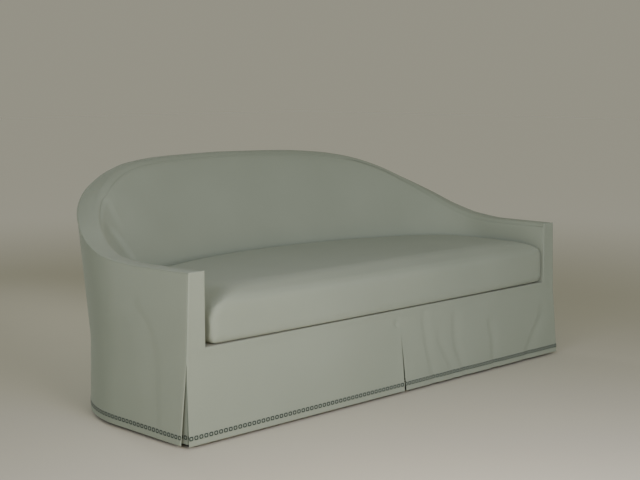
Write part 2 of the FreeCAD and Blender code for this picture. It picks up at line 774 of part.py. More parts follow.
def nodes():
    rear_start = POST_REAR + CLEAR
    front_legs, rear_legs, middle_legs = leg_spots()
    back_places = [OUTER.half - OUTER.back_radius * math.asin(SPRING_PITCH * i / OUTER.back_radius)
                   for i in UPRIGHT_SPANS]
    arm_places = [RAIL_JOINT * 0.4, RAIL_JOINT * 0.74]
    back_posts = [short_loft(post, s, POST_HALF) for s in back_places]
    arm_posts = [short_loft(post, s, POST_HALF) for s in arm_places]
    arm_pad = loft(inside_pad, FRONT_FACE, ARM_JOINT)
    arm_rail = loft(top_rail, FRONT_FACE, ARM_JOINT)
    arm_liner = loft(liner, rear_start, ARM_JOINT)
    after = ARM_JOINT + CLEAR
    all_spots = front_legs + rear_legs + middle_legs
    glides = [Part.makeCylinder(GLIDE_RADIUS, GLIDE_HEIGHT, V(x, y, 0)) for x, y in all_spots]
    yield "front_rail", front_rail()
    yield "side_rail_left", side_rail()
    yield "side_rail_right", mirrored(side_rail())
    yield "back_rail", back_rail()
    yield "rail_splice_blocks", pair(rail_splice())
    yield "corner_blocks", pair(corner_block())
    yield "seat_stretchers", group(stretchers())
    yield "arm_post_left", front_post()
    yield "arm_post_right", mirrored(front_post())
    yield "arm_braces", group(arm_posts + [mirrored(p) for p in arm_posts])
    yield "back_uprights", group(back_posts + [mirrored(p) for p in back_posts]
                                 + [short_loft(post, OUTER.half, POST_HALF)])
    yield "arm_top_rail_left", arm_rail
    yield "arm_top_rail_right", mirrored(arm_rail)
    yield "crest_rail", loft(top_rail, after, END - after)
    yield "arm_liner_left", arm_liner
    yield "arm_liner_right", mirrored(arm_liner)
    yield "back_liner_rail", loft(liner, after, END - after)
    yield "back_webbing", group(short_loft(strap, s, WEB_WIDTH / 2) for s in web_places())
    yield "front_legs", group(legs(front_legs))
    yield "rear_legs", group(legs(rear_legs))
    yield "centre_legs", group(legs(middle_legs))
    yield "glides", group(glides)
    yield "seat_springs", group(seat_springs())
    yield "spring_clips", group(spring_clips())
    yield "spring_tie_wires", group(tie_wires())
    yield "seat_deck", seat_deck()
    yield "inside_arm_left", arm_pad
    yield "inside_arm_right", mirrored(arm_pad)
    yield "inside_back", loft(inside_pad, after, END - after)
    yield "top_border", loft(border, 0.0, END)
    yield "outside_arm_left", side_cover()
    yield "outside_arm_right", mirrored(side_cover())
    yield "outside_back", back_cover()
    yield "front_panel_left", front_panel()
    yield "front_panel_right", mirrored(front_panel())
    yield "corner_pleat_left", corner_backing()
    yield "corner_pleat_right", mirrored(corner_backing())
    yield "centre_pleat", centre_backing()
    yield "trim_front", group(front_trim())
    yield "trim_left", side_trim()
    yield "trim_right", mirrored(side_trim())
    yield "trim_back", back_trim()
    yield "dust_cover", dust_cover()
    yield "seat_cushion", cushion_body()
    yield "cushion_zip", cushion_zip()
    yield "zip_slider", zip_slider()


def main():
    os.makedirs("parts", exist_ok=True)
    back = DEPTH + Wall(OUTER.half).outside(BACK_HEIGHT - BORDER_EDGE)
    middle = (back - FLARE_FRONT) / 2
    for name, shape in nodes():
        moved = shape.translated(V(0, -middle, 0))
        moved.exportStep(os.path.join("parts", name + ".step"))
        if not moved.isValid():
            print("not valid:", name)
    print("middle of the depth lies behind the arm fronts by", round(middle, 3))
    print("axis of the zip's curve, behind the origin", round(CUSHION.back_y - middle, 3),
          "radius", round(CUSHION.back_radius, 3))


main()
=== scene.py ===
import math

import bpy
import numpy as np
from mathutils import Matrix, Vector


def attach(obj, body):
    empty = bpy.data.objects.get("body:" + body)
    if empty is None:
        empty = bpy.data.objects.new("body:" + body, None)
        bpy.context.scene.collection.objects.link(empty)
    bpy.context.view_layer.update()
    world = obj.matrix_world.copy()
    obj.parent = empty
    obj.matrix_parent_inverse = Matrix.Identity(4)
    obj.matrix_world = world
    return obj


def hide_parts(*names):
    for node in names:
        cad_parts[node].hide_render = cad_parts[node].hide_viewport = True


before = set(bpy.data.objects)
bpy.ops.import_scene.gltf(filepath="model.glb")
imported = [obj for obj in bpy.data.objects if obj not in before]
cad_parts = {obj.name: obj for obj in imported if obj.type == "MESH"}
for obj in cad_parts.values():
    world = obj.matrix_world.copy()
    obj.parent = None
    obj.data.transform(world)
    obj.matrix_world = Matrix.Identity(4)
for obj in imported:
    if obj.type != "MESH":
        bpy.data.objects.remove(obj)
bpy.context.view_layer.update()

# Barrel-backed settee in pale grey-green cloth. Metres, +X right, +Y to the back, +Z up.
# Shapes are worked out with Y = 0 at the front face of the arms. They are moved forward by MIDDLE
# when a mesh is made, so that the origin is under the middle of the settee.


# Plan of the outside cover
MIDDLE = 0.492666
HALF_WIDTH = 1.010
DEPTH = 0.937
CORNER_RADIUS = 0.460
CORNER_TURN = 65.5

# Heights above the floor
BACK_HEIGHT = 0.861
ARM_HEIGHT = 0.562
SEAT_LINE = 0.470
DECK_HEIGHT = 0.316
PAD_FOOT = 0.300
BREAK_HEIGHT = 0.264
RAIL_BOTTOM = 0.180
HEM_HEIGHT = 0.010

# The sweep from arm to back: share of the way round, share of the rise
TOP_LINE = ((0.0, 0.0), (0.15, 0.0), (0.24, 0.04), (0.31, 0.145), (0.385, 0.34), (0.46, 0.545),
            (0.54, 0.745), (0.615, 0.872), (0.69, 0.94), (0.8, 0.982), (1.0, 1.0))

# Sizes of the wall at the arm front and round the back. Lean is outward run per unit of height,
# and flare is how far the hem stands out
LEAN = (-0.041, 0.113)
FLARE = (0.018, 0.005)
PAD = (0.014, 0.040)
BORDER_WIDTH = (0.068, 0.078)
WALL_THICK = (0.078, 0.180)
LEAN_RUN = 0.870
FLARE_RUN = 0.420
BACK_ROLL = 0.024
PAD_TOP = 0.014
BREAK_ROUNDING = (-0.018, -0.009, 0, 0.009, 0.018)
TOP_RAIL_DEPTH = 0.045
WELL_RADIUS = 0.360

# Where the seam under the border fades out, on the left and on the right, and the run it takes
FADE_TOP = (0.79, 0.01, 0.05)
FADE_FOOT = (0.55, 0.0, 0.6)

# How widely the top rolls over into the inside face at the front and in the back, and where that grows
ROLL_OVER = (0.022, 0.075)
ROLL_START = 0.78
ROLL_RUN = 0.32

# Cloth: clearance between neighbours, ease of what lies inside the wall, room taken by the cover,
# thickness of a sheet, rounding of its edges, and how far the border stands up over its solid
CLEAR = 0.0003
EASE = 0.0009
COVER = 0.004
CLOTH = 0.003
EDGE_ROLL = 0.0025
PROUD = 0.0012

# Upholstered border
BORDER_THICK = 0.012
LIP = 0.0045
LIP_ROUND = 0.011
UNDER_LIP = 0.0055
INNER_ROUND = 0.026
BORDER_CROWN = 0.0016
COVER_END = 0.0036
CROSS_SEAM = 0.84

# Pleats and trim
PLEAT_TOP = 0.268
SLIT_TOP = 0.216
CORNER_SLIT = 0.010
CENTRE_SLIT = 0.004
BACKING_HALF = 0.080
TRIM_LOW = 0.029
TRIM_HIGH = 0.044
TRIM_THICK = 0.0012

# Cushion. Its edge is given as share of the height and how far the outline draws in there
CUSHION_BOTTOM = 0.3163
CUSHION_HEIGHT = 0.172
CUSHION_EDGE = ((0.0, 0.020), (0.03, 0.006), (0.09, 0.0), (0.3, 0.0), (0.55, 0.0), (0.74, 0.001),
                (0.84, 0.007), (0.91, 0.020), (0.95, 0.040), (0.975, 0.068), (0.99, 0.110), (1.0, 0.193))
CUSHION_SEAM = 0.0015

# Filling: size of the voxels, and how far it may push out at most, in all, above and to the front
FILLING_VOXEL = 0.0135
FILLING_CAP = 0.016
CROWN_RISE = 0.006
FRONT_SWELL = 0.004

ZIP_LENGTH = 0.900
ZIP_HEIGHT = CUSHION_BOTTOM + CUSHION_HEIGHT * 0.44
ZIP_TAPE = 0.024


def smooth(share):
    """0 to 1 with level ends."""
    share = min(max(share, 0.0), 1.0)
    return share * share * (3 - 2 * share)


def between(low, high, share):
    return low + (high - low) * share


def curve_value(points, at):
    """A smooth line through points that never overshoots them."""
    xs = [p[0] for p in points]
    ys = [p[1] for p in points]
    at = min(max(at, xs[0]), xs[-1])
    steps = [(ys[i + 1] - ys[i]) / (xs[i + 1] - xs[i]) for i in range(len(xs) - 1)]
    slopes = [steps[0]]
    for before, after in zip(steps, steps[1:]):
        slopes.append(2 * before * after / (before + after) if before * after > 0 else 0.0)
    slopes.append(steps[-1])
    i = 0
    while i < len(xs) - 2 and at > xs[i + 1]:
        i += 1
    run = xs[i + 1] - xs[i]
    t = (at - xs[i]) / run
    return (ys[i] * (1 + 2 * t) * (1 - t) ** 2 + ys[i + 1] * t * t * (3 - 2 * t)
            + run * (slopes[i] * t * (1 - t) ** 2 - slopes[i + 1] * t * t * (1 - t)))


class Outline:
    """A barrel in plan: straight side, tight corner, long back arc, mirrored about X = 0.
    Places on it are measured along it from the front left."""

    def __init__(self, half_width, front, depth, radius):
        turn = math.radians(CORNER_TURN)
        rest = math.pi / 2 - turn
        self.half_width = half_width
        self.front = front
        self.depth = depth
        self.radius = radius
        self.turn = turn
        self.back_radius = (half_width - radius + radius * math.cos(turn)) / math.sin(rest)
        self.back_y = depth - self.back_radius
        self.side_end = depth - radius * math.sin(turn) - self.back_radius * (1 - math.cos(rest))
        self.side = self.side_end - front
        self.corner = radius * turn
        self.half = self.side + self.corner + self.back_radius * rest

    def place(self, s, out=0.0):
        """Point in plan and outward direction at a distance s along the line."""
        if s > self.half:
            x, y, nx, ny = self.place(2 * self.half - s, out)
            return -x, y, -nx, ny
        if s <= self.side:
            return -(self.half_width + out), self.front + s, -1.0, 0.0
        if s <= self.side + self.corner:
            a = (s - self.side) / self.radius
            nx, ny = -math.cos(a), math.sin(a)
            reach = self.radius + out
            return -(self.half_width - self.radius) + reach * nx, self.side_end + reach * ny, nx, ny
        a = self.turn + (s - self.side - self.corner) / self.back_radius
        nx, ny = -math.cos(a), math.sin(a)
        reach = self.back_radius + out
        return reach * nx, self.back_y + reach * ny, nx, ny

    def distance_out(self, x, y):
        """How far a point in plan lies outside the line."""
        x = abs(x)
        if y <= self.side_end:
            return x - self.half_width
        cx, cy = self.half_width - self.radius, y - self.side_end
        if math.atan2(cy, x - cx) < self.turn:
            return math.hypot(x - cx, cy) - self.radius
        return math.hypot(x, y - self.back_y) - self.back_radius


# The outside, the well between arms and back, and the cushion, which stands out at the front
OUTER = Outline(HALF_WIDTH, 0.0, DEPTH, CORNER_RADIUS)
WELL = Outline(HALF_WIDTH - WALL_THICK[0], 0.0, DEPTH - WALL_THICK[1], WELL_RADIUS)
SEAT = Outline(WELL.half_width - 0.006, -0.014, WELL.depth - 0.016, WELL_RADIUS)
END = 2 * OUTER.half
CORNER_END = OUTER.side + OUTER.corner
COVER_SEAM = CORNER_END + (OUTER.half - CORNER_END) / 6
START = COVER + CLEAR


class Wall:
    """The sizes of the arm or back wall at one place, as offsets from the outside line."""
    made = {}

    def __init__(self, s):
        right = s > OUTER.half
        s = min(s, END - s)
        share = smooth(s / LEAN_RUN)
        self.lean = between(*LEAN, share)
        self.flare = between(*FLARE, smooth(s / FLARE_RUN))
        self.roll = BACK_ROLL * share
        self.top = between(ARM_HEIGHT, BACK_HEIGHT, curve_value(TOP_LINE, s / OUTER.half))
        self.seam = self.top - BORDER_THICK
        self.inner_top = self.outside(self.seam) - between(*BORDER_WIDTH, share)
        x, y, nx, ny = OUTER.place(s)
        low, high = 0.0, CORNER_RADIUS
        for _ in range(30):
            mid = (low + high) / 2
            if WELL.distance_out(x - nx * mid, y - ny * mid) > 0:
                low = mid
            else:
                high = mid
        self.inset = low
        self.pad_back = between(*PAD, share) - self.inset
        self.pad_back_top = max(self.inner_top, -self.inset) + PAD_TOP
        self.merge, self.merge_low = (smooth((s - (on_right if right else on_left)) / run)
                                      for on_left, on_right, run in (FADE_TOP, FADE_FOOT))
        self.rolling = between(*ROLL_OVER, smooth((s - ROLL_START) / ROLL_RUN))
        self.settled = smooth(s / 0.02)

    def outside(self, z):
        """Offset of the outer face at a height."""
        if z >= BREAK_HEIGHT:
            return self.lean * (z - BREAK_HEIGHT)
        return self.flare * (BREAK_HEIGHT - z) / (BREAK_HEIGHT - HEM_HEIGHT)

    def soft_outside(self, z):
        """The same with the break rounded, as cloth hangs."""
        return sum(self.outside(max(z + d, HEM_HEIGHT)) for d in BREAK_ROUNDING) / len(BREAK_ROUNDING)


def wall(s):
    key = round(s, 6)
    if key not in Wall.made:
        Wall.made[key] = Wall(key)
    return Wall.made[key]


# Lines

EDGE_STEPS = (0.08, 0.3, 0.62, 1.0)


def spread(low, high, step, ends=(EDGE_ROLL, EDGE_ROLL)):
    """Places from low to high, close together within the rounded edge at each end."""
    near = [low] + [low + ends[0] * k for k in EDGE_STEPS if ends[0]]
    far = [high - ends[1] * k for k in reversed(EDGE_STEPS) if ends[1]] + [high]
    count = max(int(round((far[0] - near[-1]) / step)), 1)
    return near + [between(near[-1], far[0], i / count) for i in range(1, count)] + far


def arc_places(start, end, step):
    count = round((end - start) / step)
    return [between(start, end, i / count) for i in range(count + 1)]


def quarter(count, first=0):
    """Angles of a quarter turn."""
    return [math.pi / 2 * k / count for k in range(first, count + 1)]


def lengths_along(points):
    """Distance of each point from the first, along the line."""
    return np.concatenate([[0.0], np.cumsum(np.linalg.norm(np.diff(points, axis=0), axis=1))])


def evenly(points, count):
    """The same line with evenly spaced points."""
    points = np.array(points)
    run = lengths_along(points)
    at = np.linspace(0.0, run[-1], count)
    return np.stack([np.interp(at, run, column) for column in points.T], axis=1)


def rounded(points, times=3):
    """A line with its corners cut until it is smooth; its ends stay."""
    for _ in range(times):
        cut = [points[0]]
        for p, q in zip(points, points[1:]):
            cut += [(between(p[0], q[0], share), between(p[1], q[1], share)) for share in (0.25, 0.75)]
        points = cut + [points[-1]]
    return points


def drawn_in(outline, inset):
    """A closed profile moved inward by a distance."""
    along = np.roll(outline, -1, axis=0) - np.roll(outline, 1, axis=0)
    along /= np.maximum(np.linalg.norm(along, axis=1, keepdims=True), 1e-9)
    side = np.stack([-along[:, 1], along[:, 0]], axis=1)
    if np.sum((outline - outline.mean(axis=0)) * side) > 0:
        side = -side
    return outline + side * inset


# Meshes

SHARP_ANGLE = math.radians(50)

# A point inside the settee, which tells the outer face of a sheet from its inner one
HEART = (0.0, 0.35, 0.4)


def make_piece(name, points, faces, finish, uv=None, body="sofa", face_finish=None):
    """A closed mesh in its final place, riding on a body."""
    points = np.asarray(points, float).reshape(-1, 3) - (0.0, MIDDLE, 0.0)
    volume = 0.0
    for face in faces:
        a = points[face[0]]
        for i in range(1, len(face) - 1):
            volume += float(np.dot(a, np.cross(points[face[i]], points[face[i + 1]])))
    if volume < 0:
        faces = [tuple(reversed(face)) for face in faces]
    mesh = bpy.data.meshes.new(name)
    mesh.from_pydata([tuple(p) for p in points], [], faces)
    mesh.validate()
    mesh.polygons.foreach_set("use_smooth", [True] * len(mesh.polygons))
    mesh.set_sharp_from_angle(angle=SHARP_ANGLE)
    if uv is not None:
        layer = mesh.uv_layers.new(name="flat")
        index = np.zeros(len(mesh.loops), int)
        mesh.loops.foreach_get("vertex_index", index)
        layer.data.foreach_set("uv", np.asarray(uv, float).reshape(-1, 2)[index].ravel())
    for one in finish if isinstance(finish, list) else [finish]:
        mesh.materials.append(one)
    if face_finish:
        mesh.polygons.foreach_set("material_index", face_finish)
    piece = bpy.data.objects.new(name, mesh)
    bpy.context.scene.collection.objects.link(piece)
    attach(piece, body)
    return piece


def vertex_array(mesh):
    points = np.zeros(len(mesh.vertices) * 3)
    mesh.vertices.foreach_get("co", points)
    return points.reshape(-1, 3)


def mirror(piece):
    """The piece turned over to the other side of X = 0."""
    points = vertex_array(piece.data)
    points[:, 0] *= -1
    piece.data.vertices.foreach_set("co", points.ravel())
    piece.data.flip_normals()
    return piece


def tube_faces(rows, count, start=0):
    """Rings of points joined one to the next, with a flat face over each end."""
    faces = []
    for here in range(start, start + (rows - 1) * count, count):
        for j in range(count):
            k = (j + 1) % count
            faces.append((here + j, here + count + j, here + count + k, here + k))
    last = start + (rows - 1) * count
    return faces + [tuple(range(start, start + count)), tuple(range(last + count - 1, last - 1, -1))]


def rings_piece(name, finish, rings, body="sofa", uv=None):
    return make_piece(name, rings, tube_faces(len(rings), len(rings[0])), finish, uv, body)


def bar(name, runs, profile, tuck, hollow=None):
    """Closed profiles in cover cloth along the outside line, one run after the other, with
    rounded ends."""
    points, faces, uv = [], [], []
    for places in runs:
        start = len(points)
        for s in places:
            x, y, nx, ny = OUTER.place(s)
            outline = np.array(profile(wall(s)))
            near = min(s - places[0], places[-1] - s)
            if near < tuck:
                outline = drawn_in(outline, tuck - math.sqrt(max(tuck ** 2 - (tuck - near) ** 2, 0.0)))
            if hollow:
                outline[:, 0] += [hollow(s, z) for z in outline[:, 1]]
            points += [(x + nx * u, y + ny * u, z) for u, z in outline]
            uv += [(s, r) for r in lengths_along(outline)]
        faces += tube_faces(len(places), len(outline), start)
    return make_piece(name, points, faces, COVER_CLOTH, uv)


def sampled(rule, across, up):
    return np.array([[rule(a, b) for b in up] for a in across])


def level(a, b):
    """No relief."""
    return 0.0


def sheet(name, across, up, where, edge, relief=level, cells=lambda a, b: True, thick=CLOTH,
          roll=EDGE_ROLL, flat=lambda a, b: (a, b)):
    """Points, faces and flat places of a sheet from a grid of places on its outer face, rounded
    over at its free edges. The thickness is a number or differs from place to place."""
    n, m = len(across), len(up)
    base = sampled(where, across, up)
    normal = np.cross(np.gradient(base, axis=0), np.gradient(base, axis=1))
    normal /= np.maximum(np.linalg.norm(normal, axis=2, keepdims=True), 1e-12)
    if np.sum((base - HEART) * normal) < 0:
        normal = -normal
    shift = sampled(relief, across, up)
    near = np.clip(sampled(edge, across, up), 0.0, roll)
    tuck = roll - np.sqrt(np.maximum(roll ** 2 - (roll - near) ** 2, 0.0))
    depth = sampled(thick, across, up) if callable(thick) else thick
    outer = base + normal * (shift - tuck)[..., None]
    inner = base + normal * (shift - depth)[..., None]
    uv = sampled(flat, across, up).reshape(-1, 2)
    on = sampled(cells, *([(p + q) / 2 for p, q in zip(line, line[1:])] for line in (across, up)))
    faces, area, half = [], 0.0, n * m
    for i, j in zip(*np.nonzero(on)):
        ring = [(i, j), (i + 1, j), (i + 1, j + 1), (i, j + 1)]
        a, b, c, d = (outer[k] for k in ring)
        area += (np.linalg.norm(np.cross(b - a, c - a)) + np.linalg.norm(np.cross(c - a, d - a))) / 2
        index = [int(p * m + q) for p, q in ring]
        faces += [tuple(index), tuple(k + half for k in reversed(index))]
        for k, (di, dj) in enumerate(((0, -1), (1, 0), (0, 1), (-1, 0))):
            p, q = i + di, j + dj
            if not (0 <= p < n - 1 and 0 <= q < m - 1 and on[p, q]):
                u, v = index[k], index[(k + 1) % 4]
                faces.append((v, u, u + half, v + half))
    used = sorted({k for face in faces for k in face})
    back = {k: i for i, k in enumerate(used)}
    faces = [tuple(back[k] for k in face) for face in faces]
    points = np.concatenate([outer.reshape(-1, 3), inner.reshape(-1, 3)])
    return points[used], faces, np.concatenate([uv, uv])[used]


def cloth(name, finish, slot, *grid, **options):
    """A sheet as a piece of its own."""
    points, faces, uv = sheet(name, *grid, **options)
    return make_piece(name, points, faces, finish, uv)


def joined(name, sheets, finishes):
    """Several sheets as one piece. The last finish goes on all sheets that are left."""
    faces, index, start = [], [], 0
    for number, (points, rings, _) in enumerate(sheets):
        faces += [tuple(k + start for k in ring) for ring in rings]
        index += [min(number, len(finishes) - 1)] * len(rings)
        start += len(points)
    points, uv = (np.concatenate([one[k] for one in sheets]) for k in (0, 2))
    return make_piece(name, points, faces, finishes, uv, face_finish=index)


# Materials

class Value:
    """A socket that can be used in sums. Each sum adds its Math node."""

    def __init__(self, finish, socket):
        self.finish = finish
        self.socket = socket

    def math(self, operation, *others):
        node = self.finish.tree.nodes.new("ShaderNodeMath")
        node.operation = operation
        for slot, value in zip(node.inputs, (self,) + others):
            self.finish.feed(slot, value)
        return Value(self.finish, node.outputs[0])

    def __add__(self, other):
        return self.math("ADD", other)

    def __mul__(self, other):
        return self.math("MULTIPLY", other)

    def __sub__(self, other):
        return self.math("SUBTRACT", other)

    def __rsub__(self, other):
        return self.math("MULTIPLY", -1.0).math("ADD", other)

    def __truediv__(self, other):
        return self.math("DIVIDE", other)

    def __pow__(self, other):
        return self.math("POWER", other)

    def __mod__(self, other):
        return self.math("FLOORED_MODULO", other)

    def __abs__(self):
        return self.math("ABSOLUTE")

    __radd__ = __add__
    __rmul__ = __mul__

    def sine(self):
        return self.math("SINE")

    def above(self, low, high):
        """0 below low, 1 above high, smooth in between."""
        return self.finish.node("ShaderNodeMapRange", {"interpolation_type": "SMOOTHSTEP"},
                                Value=self, From_Min=low, From_Max=high)


class Finish:
    """One procedural material."""

    def __init__(self, name, **constants):
        self.material = bpy.data.materials.new(name)
        self.material.use_nodes = True
        self.tree = self.material.node_tree
        self.shader = next(n for n in self.tree.nodes if n.type == "BSDF_PRINCIPLED")
        for key, value in constants.items():
            self.shader.inputs[key.replace("_", " ")].default_value = value

    def feed(self, slot, value):
        if isinstance(value, Value):
            self.tree.links.new(value.socket, slot)
        elif slot.type == "RGBA" and len(value) == 3:
            slot.default_value = (*value, 1.0)
        else:
            slot.default_value = value

    def node(self, kind, settings=None, out=None, **values):
        """Any other node, from its settings and the values or links of its inputs. An input goes by
        its identifier, or by its name; the output is the first that is in use, or goes by its
        identifier."""
        node = self.tree.nodes.new(kind)
        for key, value in (settings or {}).items():
            setattr(node, key, value)
        for key, value in values.items():
            slots = ([s for s in node.inputs if s.identifier == key]
                     or [s for s in node.inputs if s.enabled and s.name == key.replace("_", " ")])
            self.feed(slots[0], value)
        return Value(self, next(o for o in node.outputs if (o.identifier == out if out else o.enabled)))

    def axes(self, vector):
        return [self.node("ShaderNodeSeparateXYZ", out=axis, Vector=vector) for axis in "XYZ"]

    def place(self):
        return self.node("ShaderNodeTexCoord", out="Object")

    def flat(self):
        return self.node("ShaderNodeUVMap", {"uv_map": "flat"})

    def noise(self, vector, scale, detail=3.0, roughness=0.5):
        return self.node("ShaderNodeTexNoise", Vector=vector, Scale=scale, Detail=detail,
                         Roughness=roughness)

    def stretch(self, vector, factors):
        return self.node("ShaderNodeVectorMath", {"operation": "MULTIPLY"}, Vector=vector, Vector_001=factors)

    def mix(self, share, first, second):
        return self.node("ShaderNodeMix", {"data_type": "RGBA"}, "Result_Color",
                         Factor_Float=share, A_Color=first, B_Color=second)

    def dress(self, colour, roughness, height=None, distance=None, strength=1.0):
        """What changes over the surface: colour, roughness and fine relief."""
        inputs = self.shader.inputs
        self.feed(inputs["Base Color"], colour)
        self.feed(inputs["Roughness"], roughness)
        if height is not None:
            self.feed(inputs["Normal"], self.node("ShaderNodeBump", Height=height, Distance=distance,
                                                  Strength=strength))
        return self.material


def waves(value, pitch):
    return (value * (2 * math.pi / pitch)).sine()


def shaded(colour, share):
    """The colour made darker, or lighter where the share is over 1."""
    return tuple(c * share for c in colour)


def weave(finish, thread):
    """Plain weave from the place on the piece, on whichever side faces out."""
    sx, sy, sz = (waves(axis, thread) for axis in finish.axes(finish.place()))
    face = finish.node("ShaderNodeTexCoord", out="Normal")
    nx, ny, nz = (abs(axis) ** 3 for axis in finish.axes(face))
    return (sy * sz * nx + sx * sz * ny + sx * sy * nz) / (nx + ny + nz)


def cover_cloth(name, base, worn):
    finish = Finish(name, Sheen_Weight=0.18, Sheen_Roughness=0.5, Sheen_Tint=(0.75, 0.8, 0.74, 1.0),
                    Specular_IOR_Level=0.25)
    place = finish.place()
    broad = finish.noise(place, 3.2, 2.0)
    slub = finish.noise(finish.stretch(place, (60.0, 60.0, 900.0)), 1.0, 2.0)
    fleck = finish.noise(place, 420.0, 2.0)
    threads = weave(finish, 0.0011)
    share = (broad - 0.5) * 0.9 + (slub - 0.5) * 0.35 + (fleck - 0.5) * 0.5 + threads * 0.16 + 0.45
    return finish.dress(finish.mix(share.above(0.0, 1.0), worn, base), fleck * 0.1 + 0.84,
                        threads * 0.6 + slub * 0.5 + fleck * 0.6, 0.0004, 0.6)


def trim_tape(name, ground, figure):
    """Woven tape with a row of small square rings."""
    pitch, half_wide, half_high, thread = 0.0208, 0.0062, 0.0053, 0.0009
    finish = Finish(name, Sheen_Weight=0.1, Specular_IOR_Level=0.25)
    u, v, _ = finish.axes(finish.flat())
    across = ((u / pitch) % 1.0 - 0.5) * pitch
    height = v - (TRIM_LOW + TRIM_HIGH) / 2
    reach = (abs(across / half_wide) ** 3 + abs(height / half_high) ** 3) ** (1 / 3)
    uneven = finish.noise(finish.stretch(finish.flat(), (300.0, 300.0, 1.0)), 1.0, 2.0)
    ring = 1.0 - abs(reach - 1.0 + (uneven - 0.5) * 0.12).above(0.28, 0.40)
    return finish.dress(finish.mix(ring * (0.9 + uneven * 0.1), ground, figure), uneven * 0.1 + 0.8,
                        ring * 0.8 + waves(u, thread) * waves(v, thread) * 0.3, 0.0006, 0.8)


def plain_cloth(name, dark, light, thread=0.0012):
    finish = Finish(name, Sheen_Weight=0.1, Specular_IOR_Level=0.2)
    fleck = finish.noise(finish.place(), 260.0, 3.0)
    threads = weave(finish, thread)
    return finish.dress(finish.mix((fleck + threads * 0.2).above(0.2, 0.8), dark, light),
                        fleck * 0.1 + 0.85, threads + fleck * 0.6, 0.0005, 0.6)


def striped_webbing(name, ground, stripe):
    """Jute webbing with a stripe near each edge."""
    finish = Finish(name, Specular_IOR_Level=0.2)
    u, v, _ = finish.axes(finish.flat())
    line = 1.0 - abs(abs(u) - 0.017).above(0.001, 0.002)
    fleck = finish.noise(finish.place(), 500.0, 2.0)
    jute = finish.mix(fleck, ground, shaded(ground, 1.25))
    return finish.dress(finish.mix(line * 0.8, jute, stripe), fleck * 0.1 + 0.85,
                        waves(v, 0.0022) * 0.7 + fleck * 0.5, 0.0006, 0.8)


def timber(name, dark, light, rough, coat=0.0, direction=(1.0, 9.0, 9.0)):
    finish = Finish(name, Coat_Weight=coat, Coat_Roughness=0.25)
    place = finish.stretch(finish.place(), direction)
    bend = finish.noise(place, 1.6, 2.0)
    grain = finish.noise(finish.stretch(finish.place(), tuple(d * 14 for d in direction)), 1.0, 4.0, 0.65)
    _, y, z = finish.axes(place)
    rings = ((y + z * 0.8 + bend * 2.2) * 18.0).sine() * 0.5 + 0.5
    share = rings * 0.35 + grain * 0.75 - 0.05
    return finish.dress(finish.mix(share.above(0.1, 0.9), dark, light), grain * 0.2 + (rough - 0.1),
                        grain * 0.7 + rings * 0.3, 0.0004, 0.5)


def metal(name, colour, rough):
    finish = Finish(name, Metallic=1.0)
    fine = finish.noise(finish.stretch(finish.place(), (900.0, 900.0, 180.0)), 1.0, 3.0)
    stain = finish.noise(finish.place(), 18.0, 3.0)
    return finish.dress(finish.mix(stain.above(0.35, 0.8), colour, shaded(colour, 0.72)),
                        fine * 0.18 + stain * 0.12 + (rough - 0.12), fine, 0.0002, 0.35)


def plastic(name, colour, rough):
    finish = Finish(name, Specular_IOR_Level=0.45)
    grain = finish.noise(finish.place(), 900.0, 2.0)
    scuff = finish.noise(finish.place(), 60.0, 4.0)
    worn = tuple(c * 1.5 + 0.01 for c in colour)
    return finish.dress(finish.mix(scuff.above(0.45, 0.8), colour, worn),
                        grain * 0.15 + scuff * 0.15 + (rough - 0.1), grain, 0.0002, 0.4)


COVER_CLOTH = cover_cloth("cover cloth", (0.311, 0.364, 0.302), (0.276, 0.325, 0.268))
TRIM = trim_tape("trim tape", (0.245, 0.288, 0.246), (0.012, 0.030, 0.025))
DECK_CLOTH = plain_cloth("deck cloth", (0.30, 0.32, 0.27), (0.36, 0.39, 0.325))
DUST_CLOTH = plain_cloth("dust cloth", (0.018, 0.018, 0.019), (0.04, 0.04, 0.042), 0.0018)
ZIP_CLOTH = plain_cloth("zip tape cloth", (0.24, 0.26, 0.22), (0.31, 0.33, 0.285), 0.0008)
WEBBING = striped_webbing("webbing", (0.30, 0.235, 0.15), (0.18, 0.04, 0.03))
RAW_WOOD = timber("hardwood", (0.42, 0.27, 0.14), (0.62, 0.45, 0.27), 0.62)
LEG_WOOD = timber("leg wood", (0.045, 0.022, 0.012), (0.11, 0.055, 0.028), 0.42, 0.25, (9.0, 9.0, 1.0))
STEEL = metal("spring steel", (0.42, 0.42, 0.43), 0.4)
ZINC = metal("zip metal", (0.55, 0.52, 0.45), 0.34)
GLIDE = plastic("glide plastic", (0.03, 0.03, 0.032), 0.5)


# Border and inside cover

def face_line(w, top):
    """Inside face below its top edge: crowned lean, then an upright foot by the seat."""
    crown = 0.04 * (top[1] - SEAT_LINE)
    return [top, ((top[0] - w.inset) / 2 - crown, (top[1] + SEAT_LINE) / 2), (-w.inset, SEAT_LINE),
            (-w.inset, 0.38), (-w.inset, PAD_FOOT)]


def soft_roll(w):
    """Round the back the top rolls over into the inside face with no seam to see.
    The line in two parts, above and below the level of the seam."""
    r, high = w.rolling, w.top + PROUD
    line = [(w.inner_top + 0.9 * r + 0.010, high), (w.inner_top + 0.35 * r, high)]
    line += face_line(w, (w.inner_top - w.roll - 0.0015, w.top - 0.012 - 0.55 * r))
    line = rounded(line, 4)
    cut = next(i for i, point in enumerate(line) if point[1] < w.seam)
    above, below = line[cut - 1], line[cut]
    joint = (between(above[0], below[0], (above[1] - w.seam) / (above[1] - below[1])), w.seam)
    return line[:cut] + [joint], [(joint[0] + 0.006, w.seam - 0.0002), joint] + line[cut:]


